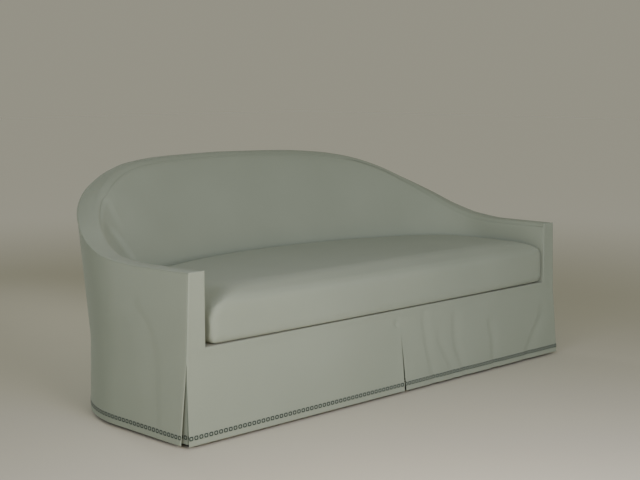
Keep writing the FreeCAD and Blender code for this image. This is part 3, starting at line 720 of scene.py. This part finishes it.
def border(w):
    """The top border: a thin lip over the outside cover, and an inner edge turned down to its seam."""
    out, inside = w.outside(w.top) + 0.0008 * w.settled, w.inner_top - PROUD * (1 - w.merge) * w.settled
    low, high = w.seam, w.top + PROUD
    points = [(out - UNDER_LIP, low), (out - UNDER_LIP, high - LIP - 0.0004)]
    points += [(out - LIP_ROUND * (1 - math.cos(a)), high - LIP + LIP * math.sin(a)) for a in quarter(8)]
    turned = [(inside + INNER_ROUND * (1 - math.sin(a)), between(low, high, math.cos(a))) for a in quarter(16)]
    inner = between(evenly(turned, 17), evenly(soft_roll(w)[0], 17), w.merge).tolist()
    start, stop = points[-1], inner[0]
    for t in (k / 9 for k in range(1, 9)):
        crown = BORDER_CROWN * math.sin(math.pi * t) * (1 - w.merge)
        points.append((between(start[0], stop[0], t), between(start[1], stop[1], t) + crown))
    return points + inner + [(inner[-1][0] + 0.004, low + 0.0001)]


def inside_pad(w):
    """Padding and inside cover of arms and back."""
    count, fading = 60, 25
    top = w.seam - CLEAR
    face, roll = (max(edge, -w.inset) for edge in (w.inner_top, w.inner_top - w.roll))
    shoulder = top - 0.030
    seamed = [(face + 0.004, top), (face, top - 0.0015), (between(face, roll, 0.62), between(top, shoulder, 0.36))]
    seamed = rounded(seamed + face_line(w, (roll, shoulder)))
    share = np.array([[between(w.merge, w.merge_low, smooth(i / fading))] for i in range(count)])
    front = between(evenly(seamed, count), evenly(soft_roll(w)[1], count), share).tolist()
    return front + [(w.pad_back, PAD_FOOT), (w.pad_back, SEAT_LINE),
                    (w.pad_back_top, top - TOP_RAIL_DEPTH), (w.pad_back_top, top)]


def slack(s, z):
    """A fold in the inside cover where the left arm turns into the back, steep on its far side."""
    d = s - curve_value(((0.50, 0.800), (0.537, 0.780), (0.584, 0.750), (0.622, 0.730), (0.66, 0.70)), z)
    along = smooth((z - 0.49) / 0.06) * smooth((0.665 - z) / 0.05)
    return 0.013 * along * math.exp(-(d / (0.055 if d < 0 else 0.020)) ** 2)


border_runs = [spread(CLOTH + CLEAR, CROSS_SEAM, 0.012, (0, PROUD)),
               spread(CROSS_SEAM, END - CROSS_SEAM, 0.012, (PROUD, PROUD)),
               spread(END - CROSS_SEAM, END - CLOTH - CLEAR, 0.012, (PROUD, 0))]
top_border = bar("cover_top_border", border_runs, border, PROUD)
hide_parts("top_border")

inside_cover = bar("cover_inside", [spread(START, END - START, 0.008, (0.003, 0.003))], inside_pad, 0.003, slack)
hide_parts("inside_arm_left", "inside_back", "inside_arm_right")


# Folds in the hanging cloth

def slit_share(z):
    """0 at the top of a pleat, 1 at the hem."""
    return max(PLEAT_TOP - z, 0.0) / (PLEAT_TOP - HEM_HEIGHT)


def fold(at, height, line, width, depth, fade=0.07):
    """A soft valley along a line of (height, place), steep on its near side and long on the other."""
    if not line[0][0] - fade < height < line[-1][0] + fade:
        return 0.0
    d = (at - curve_value(line, height)) / width
    ends = smooth((height - line[0][0] + fade) / fade) * smooth((line[-1][0] + fade - height) / fade)
    return -ends * depth * math.exp(-(d if d < 0 else d / 3.5) ** 2)


# Line, width and depth of each fold
FRONT_FOLDS = (
    (((0.0, 0.196), (0.063, 0.187), (0.103, 0.178), (0.178, 0.159), (0.256, 0.147)), 0.008, 0.0048),
    (((0.0, 0.325), (0.065, 0.297), (0.112, 0.269), (0.167, 0.235)), 0.009, 0.0036),
    (((0.0, 0.395), (0.066, 0.365), (0.149, 0.333), (0.228, 0.331)), 0.009, 0.0050),
    (((0.0, 0.574), (0.066, 0.573), (0.118, 0.576), (0.177, 0.560)), 0.009, 0.0052),
    (((0.0, 0.780), (0.07, 0.821), (0.119, 0.86), (0.179, 0.915)), 0.012, 0.0048),
)
SIDE_FOLD = (((0.071, 0.146), (0.24, 0.156), (0.35, 0.185), (0.43, 0.262)), 0.018, 0.0020)
SLIT_LINE = ((0.0, 0.029), (0.212, 0.018), (0.267, -0.004), (0.32, 0.0))
TACK = (-0.004, 0.267)
TACK_RADIUS = 0.010
TACK_DEPTH = 0.006


def slit_line(z):
    """The centre slit hangs a little right of the middle."""
    return curve_value(SLIT_LINE, z)


def front_relief(x, z):
    """Folds, the slit's lifted edges, and the dimple where the centre pleat is tacked."""
    rise = sum(fold(x, z, *one) for one in FRONT_FOLDS)
    rise += 0.002 * slit_share(z) * math.exp(-((x - slit_line(z)) / 0.02) ** 2)
    tack = math.hypot(x - TACK[0], (z - TACK[1]) * 0.8) / TACK_RADIUS
    return rise - TACK_DEPTH * math.exp(-tack * tack)


def side_relief(s, z):
    return fold(s, z, *SIDE_FOLD)


# Outside covers. Their rows are marked by the height that they have where the wall is REFERENCE_TOP high

REFERENCE_TOP = 0.8


def wall_height(s, mark):
    """Height of a row: fixed below the break, a share of the rise above it."""
    if mark <= BREAK_HEIGHT:
        return mark
    share = (mark - BREAK_HEIGHT) / (REFERENCE_TOP - BREAK_HEIGHT)
    return between(BREAK_HEIGHT, wall(s).top - COVER_END, share)


def on_wall(s, z, start, slit):
    """Point on the outside; the front edge stands back below a corner pleat."""
    s += slit * slit_share(z) * max(1 - (s - start) / 0.08, 0.0)
    x, y, _, _ = OUTER.place(s, wall(s).soft_outside(z))
    return x, y, z


def outside_cover(name, start, end, folds, slit):
    up = spread(HEM_HEIGHT, BREAK_HEIGHT, 0.009, (EDGE_ROLL, 0))[:-1]
    up += spread(BREAK_HEIGHT, REFERENCE_TOP, 0.013, (0, 0.004))

    def edge(s, mark):
        z = wall_height(s, mark)
        return min(s - start, end - s, z - HEM_HEIGHT, (wall(s).top - COVER_END - z) * 3)

    return cloth(name, COVER_CLOTH, "cover_fabric", spread(start, end, 0.012), up,
                 lambda s, mark: on_wall(s, wall_height(s, mark), start, slit), edge,
                 lambda s, mark: folds(s, wall_height(s, mark)),
                 flat=lambda s, mark: (s, wall_height(s, mark)))


# The three lengths round the outside: name, ends, folds, and slit at the front. The right one is
# drawn on the left and mirrored
LENGTHS = (("left", START, COVER_SEAM, side_relief, CORNER_SLIT),
           ("right", START, COVER_SEAM, level, CORNER_SLIT),
           ("back", COVER_SEAM + CLEAR, END - COVER_SEAM - CLEAR, level, 0.0))
LENGTH_FLAT = {"left": COVER_SEAM, "right": COVER_SEAM, "back": END - 2 * COVER_SEAM}

for where, *sizes in LENGTHS:
    piece = outside_cover("cover_outside_" + where, *sizes)
    if where == "right":
        mirror(piece)
    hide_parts("outside_back" if where == "back" else "outside_arm_" + where)


# Front cover, in one piece from arm front to arm front

FRONT_WALL = wall(0.0)
ARM_FRONT_TOP = ARM_HEIGHT + 0.001
ARM_INNER = WELL.half_width - 0.001
SLIT_EDGE = 0.0012
SEAM_IN = 0.005
SEAM_HALF = 0.003
SEAM_RISE = 0.0009
TURNED_IN = 0.0011
TURNED_IN_RUN = 0.012


def skirt_side(z):
    """Outer edge of the front cover at a height, as a distance from the middle."""
    return HALF_WIDTH + FRONT_WALL.outside(z) - CORNER_SLIT * slit_share(z)


def centre_gap(z):
    share = max(SLIT_TOP - z, 0.0) / (SLIT_TOP - HEM_HEIGHT)
    return 0.0002 + (CENTRE_SLIT + 0.0005) * share


def front_x(a, z):
    """Marks: 0 to 1 is apron from the centre slit to the line of the arm, 1 to 2 is below the arm."""
    side = 1 if a > 0 else -1
    a = abs(a)
    if a <= 1:
        return side * between(centre_gap(z), ARM_INNER, a) + slit_line(z) * (1 - a)
    return side * between(ARM_INNER, skirt_side(z), a - 1)


def front_place(a, z):
    return front_x(a, z), -FRONT_WALL.soft_outside(z) if z < DECK_HEIGHT - 0.02 else 0.0, z


def front_flat(a, z):
    return front_x(a, z), z


def front_edge(a, z):
    """Distance from the nearest free edge."""
    x = front_x(a, z)
    d = min(skirt_side(z) - abs(x), z - HEM_HEIGHT, ARM_FRONT_TOP - z)
    if z < PLEAT_TOP:
        d = max(d, min(SLIT_EDGE, z - HEM_HEIGHT))
    if z < SLIT_TOP:
        d = min(d, max(abs(x - slit_line(z)) - centre_gap(z), SLIT_EDGE))
    if abs(x) <= ARM_INNER:
        return min(d, max(DECK_HEIGHT - z, 0))
    if z > DECK_HEIGHT:
        return min(d, abs(x) - ARM_INNER)
    return min(d, math.hypot(abs(x) - ARM_INNER, DECK_HEIGHT - z))


def front_marks():
    half = [1e-7, 0.0003, 0.001, 0.0019, 0.003, 0.006] + [i / 78 for i in range(1, 78)]
    half += [0.998, 1.0, 1.004, 1.013]
    half += [1 + k for k in (0.03, 0.07, 0.16, 0.3, 0.5, 0.7, 0.84, 0.93, 0.968, 0.99, 1.0)]
    return [-k for k in reversed(half)] + half


def seam_ridge(x, z):
    """Allowance turned in behind both upright edges of the arm front shows as low ridges."""
    outer = (skirt_side(z) - abs(x) - SEAM_IN) / SEAM_HALF
    inner = (abs(x) - ARM_INNER - SEAM_IN) / SEAM_HALF
    return SEAM_RISE * (math.exp(-outer * outer) * smooth((z - 0.20) / 0.1)
                        + math.exp(-inner * inner) * smooth((z - 0.31) / 0.02))


def front_depth(a, z):
    """The cloth is turned in thin along the slits."""
    x = front_x(a, z)
    centre = smooth((abs(x - slit_line(z)) - centre_gap(z)) / TURNED_IN_RUN) if z < SLIT_TOP else 1.0
    corner = smooth((skirt_side(z) - abs(x)) / TURNED_IN_RUN) if z < PLEAT_TOP else 1.0
    return between(TURNED_IN, CLOTH, min(centre, corner))


front_cover = cloth(
    "cover_front", COVER_CLOTH, "cover_fabric", front_marks(),
    spread(HEM_HEIGHT, DECK_HEIGHT, 0.009)[:-1] + spread(DECK_HEIGHT, ARM_FRONT_TOP, 0.012),
    front_place, front_edge,
    lambda a, z: front_relief(front_x(a, z), z) + seam_ridge(front_x(a, z), z),
    cells=lambda a, z: not (abs(a) < 1 and z > DECK_HEIGHT) and not (abs(a) < 1e-6 and z < SLIT_TOP),
    thick=front_depth, flat=front_flat)
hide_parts("front_panel_left", "front_panel_right")


# Pleat backings, each with its own length of tape

def set_back(z, share, deep):
    """A backing falls inward from the rail, behind the flared skirt, so that its slit reads dark."""
    return share * FRONT_WALL.outside(z) * smooth((0.26 - z) / 0.08) + deep * smooth((0.25 - z) / 0.12)


def behind_corner(a, z, behind, radius=0.005):
    """Point on the angle behind a corner slit; a runs from the front round to the side."""
    behind += set_back(z, 0.75, 0.0)
    cx = -HALF_WIDTH - wall(max(a, 0.0)).outside(z) + behind
    cy = -FRONT_WALL.outside(z) + behind
    if a < -radius:
        return cx - a, cy, z
    if a > radius:
        return cx, cy + a, z
    turn = math.pi / 4 * (1 + a / radius)
    return cx + radius * (1 - math.sin(turn)), cy + radius * (1 - math.cos(turn)), z


def behind_centre(a, z, behind):
    return a + 0.02, -FRONT_WALL.outside(z) + behind + set_back(z, 1.0, 0.020), z


BACKING_LOW, BACKING_HIGH = HEM_HEIGHT + COVER, PLEAT_TOP + COVER
BACKING_LAYERS = ((BACKING_LOW, BACKING_HIGH, 0.012, COVER + CLEAR, 0.002, 0.001),
                  (TRIM_LOW, TRIM_HIGH, 0.004, COVER + CLEAR - 0.0012, 0.0011, 0.0004))


def backing(name, where, side):
    """Backing and the tape sewn on it, as one piece."""
    across = spread(-BACKING_HALF, BACKING_HALF, 0.004, (0.001, 0.001))
    layers = []
    for low, high, step, behind, thick, roll in BACKING_LAYERS:
        def placed(a, z):
            x, y, z = where(a, z, behind)
            return side * x, y, z

        layers.append(sheet(name, across, spread(low, high, step, (roll, roll)), placed,
                            lambda a, z: min(BACKING_HALF - abs(a), z - low, high - z), thick=thick, roll=roll))
    return joined(name, layers, [COVER_CLOTH, TRIM])


for name, node, where, side in (("pleat_backing_left", "corner_pleat_left", behind_corner, 1),
                                ("pleat_backing_right", "corner_pleat_right", behind_corner, -1),
                                ("pleat_backing_centre", "centre_pleat", behind_centre, 1)):
    piece = backing(name, where, side)
    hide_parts(node)


# Trim tape

TAPE_ROLL = 0.0005
TAPE_UP = spread(TRIM_LOW, TRIM_HIGH, 0.004, (TAPE_ROLL, TAPE_ROLL))
TAPE = {"thick": TRIM_THICK * 0.96, "roll": TAPE_ROLL}


def front_tape():
    """A length on each side of the centre slit."""
    half = [m for m in front_marks() if m > 0.0002]
    lengths = [sheet("tape_front", sorted(side * m for m in half), TAPE_UP, front_place,
                     lambda a, z: min(z - TRIM_LOW, TRIM_HIGH - z),
                     lambda a, z: TRIM_THICK + front_relief(front_x(a, z), z), flat=front_flat, **TAPE)
               for side in (-1, 1)]
    return joined("tape_front", lengths, [TRIM])


def wall_tape(name, start, end, folds, slit):
    return cloth(name, TRIM, "trim_tape", spread(start, end, 0.012, (TAPE_ROLL, TAPE_ROLL)), TAPE_UP,
                 lambda s, z: on_wall(s, z, start, slit),
                 lambda s, z: min(z - TRIM_LOW, TRIM_HIGH - z, s - start, end - s),
                 lambda s, z: TRIM_THICK + folds(s, z), **TAPE)


tapes = [("front", front_tape(), 2 * HALF_WIDTH + 0.02, "cover_front")]
tapes += [(where, wall_tape("tape_" + where, *sizes), LENGTH_FLAT[where], "cover_outside_" + where)
          for where, *sizes in LENGTHS]
for where, piece, length, under in tapes:
    if where == "right":
        mirror(piece)
    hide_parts("trim_" + where)


# Seat deck and dust cover

def deck_ring(inset, z, count=150, across=90):
    """Round the inside of the wall, closed off straight across the front."""
    front = START + inset
    ring = [WELL.place(s, -EASE - inset)[:2] for s in
            (between(front, 2 * WELL.half - front, i / count) for i in range(count + 1))]
    ring += [(between(ring[count][0], ring[0][0], i / across), front) for i in range(1, across)]
    return [(x, y, z) for x, y in ring]


DECK_EDGE = ((0.004, 0.2962), (0.0, 0.300), (0.0, 0.306), (0.0012, 0.3115), (0.004, 0.3148), (0.009, 0.3160))
seat_deck = rings_piece("deck_pad", DECK_CLOTH, [deck_ring(inset, z) for inset, z in DECK_EDGE])
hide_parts("seat_deck")

DUST_TOP = RAIL_BOTTOM - CLEAR
DUST_GAP = 0.0015
DUST_SAG = 0.006


def dust_point(s, share):
    """Stapled flat along the rails, sagging a little inside them."""
    x, y, _, _ = OUTER.place(s, -(COVER + 0.002 + EASE))
    y = between(START, y, share)
    inside = min(-OUTER.distance_out(x, y), y) - 0.10
    return x, y, DUST_TOP - DUST_GAP - DUST_SAG * smooth(inside / 0.25)


dust_cover = cloth("dust_sheet", DUST_CLOTH, "dust_cloth",
                   arc_places(OUTER.side + 0.0005, END - OUTER.side - 0.0005, 0.03),
                   [i / 30 for i in range(31)], dust_point, lambda a, b: 1.0, thick=0.0012)
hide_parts("dust_cover")


# Webbing straps round arms and back

STRAP_WIDTH = 0.050
STRAP_THICK = 0.0015
STRAP_PITCH = 0.150
STRAP_FIRST = START + 0.032 + STRAP_WIDTH
STRAP_COUNT = int((END - 2 * STRAP_FIRST) // STRAP_PITCH) + 1
STRAP_ACROSS = (-0.025, -0.0242, -0.012, 0.0, 0.012, 0.0242, 0.025)
STRAP_EDGE = 0.0245


def webbing():
    points, faces, uv = [], [], []
    for i in range(STRAP_COUNT):
        middle = STRAP_FIRST + (END - 2 * STRAP_FIRST) * i / (STRAP_COUNT - 1)
        rings = []
        for t in STRAP_ACROSS:
            w = wall(middle + t)
            x, y, nx, ny = OUTER.place(middle + t)
            top = w.seam - EASE
            near, upper = w.pad_back + EASE, w.pad_back_top + EASE
            line = rounded([(near, PAD_FOOT + CLEAR), (near, SEAT_LINE), (upper, top - TOP_RAIL_DEPTH),
                            (upper, top)], 2)
            thin = 0.0004 if abs(t) > STRAP_EDGE else 0.0
            line = [(u + thin, z) for u, z in line] + [(u + STRAP_THICK - thin, z) for u, z in reversed(line)]
            rings.append([(x + nx * u, y + ny * u, z) for u, z in line])
            uv += [(t, z) for _, z in line]
        faces += tube_faces(len(rings), len(rings[0]), len(points))
        points += [p for ring in rings for p in ring]
    return make_piece("webbing_straps", points, faces, WEBBING, uv)


straps = webbing()
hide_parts("back_webbing")


# Loose cushion

def bake(piece):
    """Put the piece's modifiers into its mesh."""
    graph = bpy.context.evaluated_depsgraph_get()
    mesh = bpy.data.meshes.new_from_object(piece.evaluated_get(graph))
    mesh.name = piece.name
    piece.modifiers.clear()
    old = piece.data
    piece.data = mesh
    bpy.data.meshes.remove(old)


def cushion_ring(inset, share, step=0.012):
    """Outline of the cushion at a share of its height. Near its front the left end leans away from
    the arm, the front swells a little in the middle, and the back edge is fuller than the front."""
    z = CUSHION_BOTTOM + CUSHION_SEAM + (CUSHION_HEIGHT - 2 * CUSHION_SEAM) * share
    inset += CUSHION_SEAM
    lean = 0.020 + 0.060 * smooth((share - 0.60) / 0.36)
    corner_radius = {-1: 0.014 + 0.25 * inset, 1: 0.020 + 0.6 * inset}

    def pull(x, y):
        return (lean if x < 0 else 0.002) * (1 - smooth((y - SEAT.front - 0.03) / 0.30))

    start = inset + corner_radius[-1]
    stop = 2 * SEAT.half - inset - corner_radius[1]
    count = int((stop - start) / step)
    ring = []
    for i in range(count + 1):
        s = between(start, stop, i / count)
        x, y, _, _ = SEAT.place(s)
        ring.append(SEAT.place(s, -inset * (1 - 0.6 * smooth((y - 0.2) / 0.3)) - pull(x, y))[:2])
    y = SEAT.front + inset

    def front_corner(side):
        radius, x = corner_radius[side], SEAT.half_width - inset - pull(side, y)
        return [(side * (x - radius * (1 - math.cos(a))), y + radius * (1 - math.sin(a))) for a in quarter(10, 1)]

    right, left = front_corner(1), front_corner(-1)
    across = int((right[-1][0] - left[-1][0]) / step)
    front = [(between(right[-1][0], left[-1][0], i / across), y) for i in range(1, across)]
    ring += [(px, py + 0.008 * (px / SEAT.half_width) ** 4) for px, py in right + front + left[::-1]]
    return [(px, py, z) for px, py in ring]


def fill(piece):
    """Swell the cushion under pressure, as the filling does, and keep it in its place."""
    remesh = piece.modifiers.new("voxels", "REMESH")
    remesh.mode = "VOXEL"
    remesh.voxel_size = FILLING_VOXEL
    remesh.use_smooth_shade = True
    bake(piece)
    rest = vertex_array(piece.data)
    swell(piece, rest)
    move = vertex_array(piece.data) - rest
    reach = np.linalg.norm(move, axis=1, keepdims=True)
    settle(piece, rest + move * FILLING_CAP / (FILLING_CAP + reach))
    soften = piece.modifiers.new("rounder", "SUBSURF")
    soften.levels = soften.render_levels = 1
    bake(piece)
    settle(piece, vertex_array(piece.data))
    piece.data.polygons.foreach_set("use_smooth", [True] * len(piece.data.polygons))
    piece.data.update()


def swell(piece, rest, frames=20):
    """Blow it up with its lower part held."""
    press = piece.modifiers.new("filling", "CLOTH")
    for key, value in (("quality", 4), ("use_pressure", True), ("uniform_pressure_force", 4.0),
                       ("tension_stiffness", 15), ("compression_stiffness", 15)):
        setattr(press.settings, key, value)
    press.settings.effector_weights.gravity = 0.0
    held = piece.vertex_groups.new(name="held")
    for i, height in enumerate(rest[:, 2]):
        weight = 1.0 - smooth(((height - CUSHION_BOTTOM) / CUSHION_HEIGHT - 0.62) / 0.3)
        if weight > 0:
            held.add([i], weight, "REPLACE")
    press.settings.vertex_group_mass = "held"
    press.point_cache.frame_start = 1
    press.point_cache.frame_end = frames
    for number in range(1, frames + 1):
        bpy.context.scene.frame_set(number)
    bake(piece)
    bpy.context.scene.frame_set(1)


def settle(piece, points):
    """Nothing below the deck, above the crown or through the arms and back."""
    step = 0.001
    points[:, 2] = np.clip(points[:, 2], CUSHION_BOTTOM, CUSHION_BOTTOM + CUSHION_HEIGHT + CROWN_RISE)
    for p in points:
        out = SEAT.distance_out(p[0], p[1] + MIDDLE)
        if out > 0:
            x, y = Vector((p[0], p[1] + MIDDLE))
            gx = (SEAT.distance_out(x + step, y) - SEAT.distance_out(x - step, y)) / (2 * step)
            gy = (SEAT.distance_out(x, y + step) - SEAT.distance_out(x, y - step)) / (2 * step)
            size = math.hypot(gx, gy) or 1.0
            p[0] -= gx / size * out
            p[1] -= gy / size * out
        p[1] = max(p[1], -MIDDLE + SEAT.front - FRONT_SWELL)
    piece.data.vertices.foreach_set("co", points.ravel())


cushion_rings = [evenly(cushion_ring(inset, share), 361)[:-1] for share, inset in CUSHION_EDGE]
seat_cushion = rings_piece("bench_cushion", COVER_CLOTH, cushion_rings, "cushion")
fill(seat_cushion)
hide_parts("seat_cushion")


# Zip along the back of the cushion

ZIP_START, ZIP_END = SEAT.half - ZIP_LENGTH / 2, SEAT.half + ZIP_LENGTH / 2
zip_places = arc_places(ZIP_START, ZIP_END, 0.015)
ZIP_PROFILE = ((CLEAR, -ZIP_TAPE / 2), (CLEAR + 0.001, 0.0006 - ZIP_TAPE / 2),
               (CLEAR + 0.001, ZIP_TAPE / 2 - 0.0006), (CLEAR, ZIP_TAPE / 2))
zip_tape = rings_piece("zip_strip", ZIP_CLOTH,
                       [[SEAT.place(s, out)[:2] + (ZIP_HEIGHT + z,) for out, z in ZIP_PROFILE] for s in zip_places],
                       "cushion", [(s, z) for s in zip_places for _, z in ZIP_PROFILE])
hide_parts("cushion_zip")


def row_tree():
    """Sets one small piece again and again along a line, each turned to follow it."""
    tree = bpy.data.node_groups.new("set along a line", "GeometryNodeTree")
    for name, kind in (("Line", "Geometry"), ("Piece", "Object"), ("Pitch", "Float"), ("Finish", "Material")):
        tree.interface.new_socket(name, in_out="INPUT", socket_type="NodeSocket" + kind)
    tree.interface.new_socket("Row", in_out="OUTPUT", socket_type="NodeSocketGeometry")
    start, end, curve, points, info, turn, place, real, paint = (tree.nodes.new(kind) for kind in (
        "NodeGroupInput", "NodeGroupOutput", "GeometryNodeMeshToCurve", "GeometryNodeCurveToPoints",
        "GeometryNodeObjectInfo", "FunctionNodeAlignRotationToVector", "GeometryNodeInstanceOnPoints",
        "GeometryNodeRealizeInstances", "GeometryNodeSetMaterial"))
    points.mode = "LENGTH"
    turn.axis, turn.pivot_axis = "X", "Z"
    for source, out, target, slot in (
            (start, "Line", curve, 0), (curve, 0, points, "Curve"), (start, "Pitch", points, "Length"),
            (start, "Piece", info, "Object"), (points, "Points", place, "Points"),
            (points, "Tangent", turn, "Vector"), (turn, 0, place, "Rotation"),
            (info, "Geometry", place, "Instance"), (place, 0, real, 0), (real, 0, paint, "Geometry"),
            (start, "Finish", paint, "Material"), (paint, 0, end, 0)):
        tree.links.new(source.outputs[out], target.inputs[slot])
    return tree


ROW = row_tree()


def small_block(name, boxes):
    """A template for a row: boxes given by their lowest and highest corners."""
    points, faces = [], []
    for low, high in boxes:
        start = len(points)
        for z in (low[2], high[2]):
            points += [(low[0], low[1], z), (high[0], low[1], z), (high[0], high[1], z), (low[0], high[1], z)]
        faces += [tuple(start + k for k in ring) for ring in
                  ((0, 3, 2, 1), (4, 5, 6, 7), (0, 1, 5, 4), (1, 2, 6, 5), (2, 3, 7, 6), (3, 0, 4, 7))]
    mesh = bpy.data.meshes.new(name)
    mesh.from_pydata(points, [], faces)
    return bpy.data.objects.new(name, mesh)


def set_row(name, line, template, pitch, finish, body):
    """Copies of a template along a line, as one plain mesh on a body."""
    path = bpy.data.meshes.new(name)
    path.from_pydata([(x, y - MIDDLE, z) for x, y, z in line], [(i, i + 1) for i in range(len(line) - 1)], [])
    row = bpy.data.objects.new(name, path)
    bpy.context.scene.collection.objects.link(row)
    bpy.context.scene.collection.objects.link(template)
    modifier = row.modifiers.new("row", "NODES")
    modifier.node_group = ROW
    names = {item.name: item.identifier for item in ROW.interface.items_tree if item.in_out == "INPUT"}
    for key, value in (("Piece", template), ("Pitch", pitch), ("Finish", finish)):
        modifier[names[key]] = value
    bake(row)
    bpy.data.objects.remove(template)
    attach(row, body)


tooth = small_block("tooth", [((-0.0007, -0.0007, -0.0025), (0.0007, 0.0007, 0.0006)),
                              ((0.0008, -0.0007, -0.0006), (0.0022, 0.0007, 0.0025))])
zip_line = [SEAT.place(s, CLEAR + 0.0018)[:2] + (ZIP_HEIGHT,)
            for s in arc_places(ZIP_START + 0.022, ZIP_END - 0.006, 0.01)]
set_row("zip_teeth", zip_line, tooth, 0.0030, ZINC, "cushion")

staple = small_block("staple", [((-0.0060, -0.0004, -0.0006), (0.0060, 0.0004, 0.0))])
edge_line = [OUTER.place(s, -0.020)[:2] + (DUST_TOP - 0.00175,)
             for s in arc_places(0.03, END - 0.03, 0.02)]
set_row("dust_cover_staples", edge_line, staple, 0.045, STEEL, "sofa")


# Finishes of the parts that keep their drawn shape

KEPT = {
    RAW_WOOD: ("front_rail", "side_rail_left", "side_rail_right", "back_rail", "rail_splice_blocks",
               "corner_blocks", "seat_stretchers", "arm_post_left", "arm_post_right", "arm_braces",
               "back_uprights", "arm_top_rail_left", "arm_top_rail_right", "crest_rail",
               "arm_liner_left", "arm_liner_right", "back_liner_rail"),
    LEG_WOOD: ("front_legs", "rear_legs", "centre_legs"),
    GLIDE: ("glides",),
    STEEL: ("seat_springs", "spring_clips", "spring_tie_wires"),
    ZINC: ("zip_slider",),
}
for finish, names in KEPT.items():
    for name in names:
        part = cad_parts[name]
        for holder in part.material_slots:
            holder.material = finish
        if not part.material_slots:
            part.data.materials.append(finish)


# Camera, floor and light

def aim(obj, place, direction):
    obj.location = place
    obj.rotation_euler = Vector(direction).to_track_quat("-Z", "Y").to_euler()
    bpy.context.scene.collection.objects.link(obj)


camera = bpy.data.objects.new("camera", bpy.data.cameras.new("camera"))
camera.data.lens = 72.9
camera.data.sensor_width = 36.0
yaw, pitch = math.radians(45.77), math.radians(-7.11)
aim(camera, (-3.575, -3.574, 1.165),
    (math.sin(yaw) * math.cos(pitch), math.cos(yaw) * math.cos(pitch), math.sin(pitch)))
bpy.context.scene.camera = camera

# Name, place, what it points at, size, power, colour and spread of each lamp
for name, place, target, size, power, colour, spreading in (
        ("key", (-1.2, -2.9, 1.3), (0.45, -0.2, 0.35), (1.5, 1.2), 43.3, (0.818, 0.827, 1.0), 180),
        ("low", (-1.5, -2.2, 0.7), (0.45, -0.2, 0.35), (1.0, 0.8), 15.7, (1.0, 0.745, 0.433), 180),
        ("side", (-3.3, -1.5, 1.4), (0.0, -0.2, 0.35), (1.5, 1.5), 29.5, (0.952, 0.919, 1.0), 180),
        ("back", (0.4, 4.3, 1.3), (0.0, 0.4, 0.45), (0.9, 1.2), 4.5, (1.0, 0.97, 0.93), 38)):
    data = bpy.data.lights.new(name, "AREA")
    data.shape = "RECTANGLE"
    data.size, data.size_y = size
    data.energy = power
    data.color = colour
    data.spread = math.radians(spreading)
    aim(bpy.data.objects.new(name, data), place, Vector(target) - Vector(place))

FLOOR_HALF = 30
ground = bpy.data.meshes.new("floor")
ground.from_pydata([(x * FLOOR_HALF, y * FLOOR_HALF, 0) for x, y in ((-1, -1), (1, -1), (1, 1), (-1, 1))],
                   [], [(0, 1, 2, 3)])
floor = bpy.data.objects.new("floor", ground)
bpy.context.scene.collection.objects.link(floor)
floor_finish = Finish("floor", Specular_IOR_Level=0.2)
mottle = floor_finish.noise(floor_finish.place(), 0.9, 3.0)
east, north, _ = floor_finish.axes(floor_finish.place())
far = ((east * east + north * north) ** 0.5).above(1.8, 6.5)
near = floor_finish.mix(mottle, (0.565, 0.563, 0.487), (0.615, 0.613, 0.531))
ground.materials.append(floor_finish.dress(floor_finish.mix(far, near, (1.0, 1.0, 1.0)), mottle * 0.1 + 0.75))

world = bpy.data.worlds.new("studio")
world.use_nodes = True
sky = next(n for n in world.node_tree.nodes if n.type == "BACKGROUND")
sky.inputs["Color"].default_value = (0.324, 0.313, 0.247, 1.0)
sky.inputs["Strength"].default_value = 1.0
bpy.context.scene.world = world
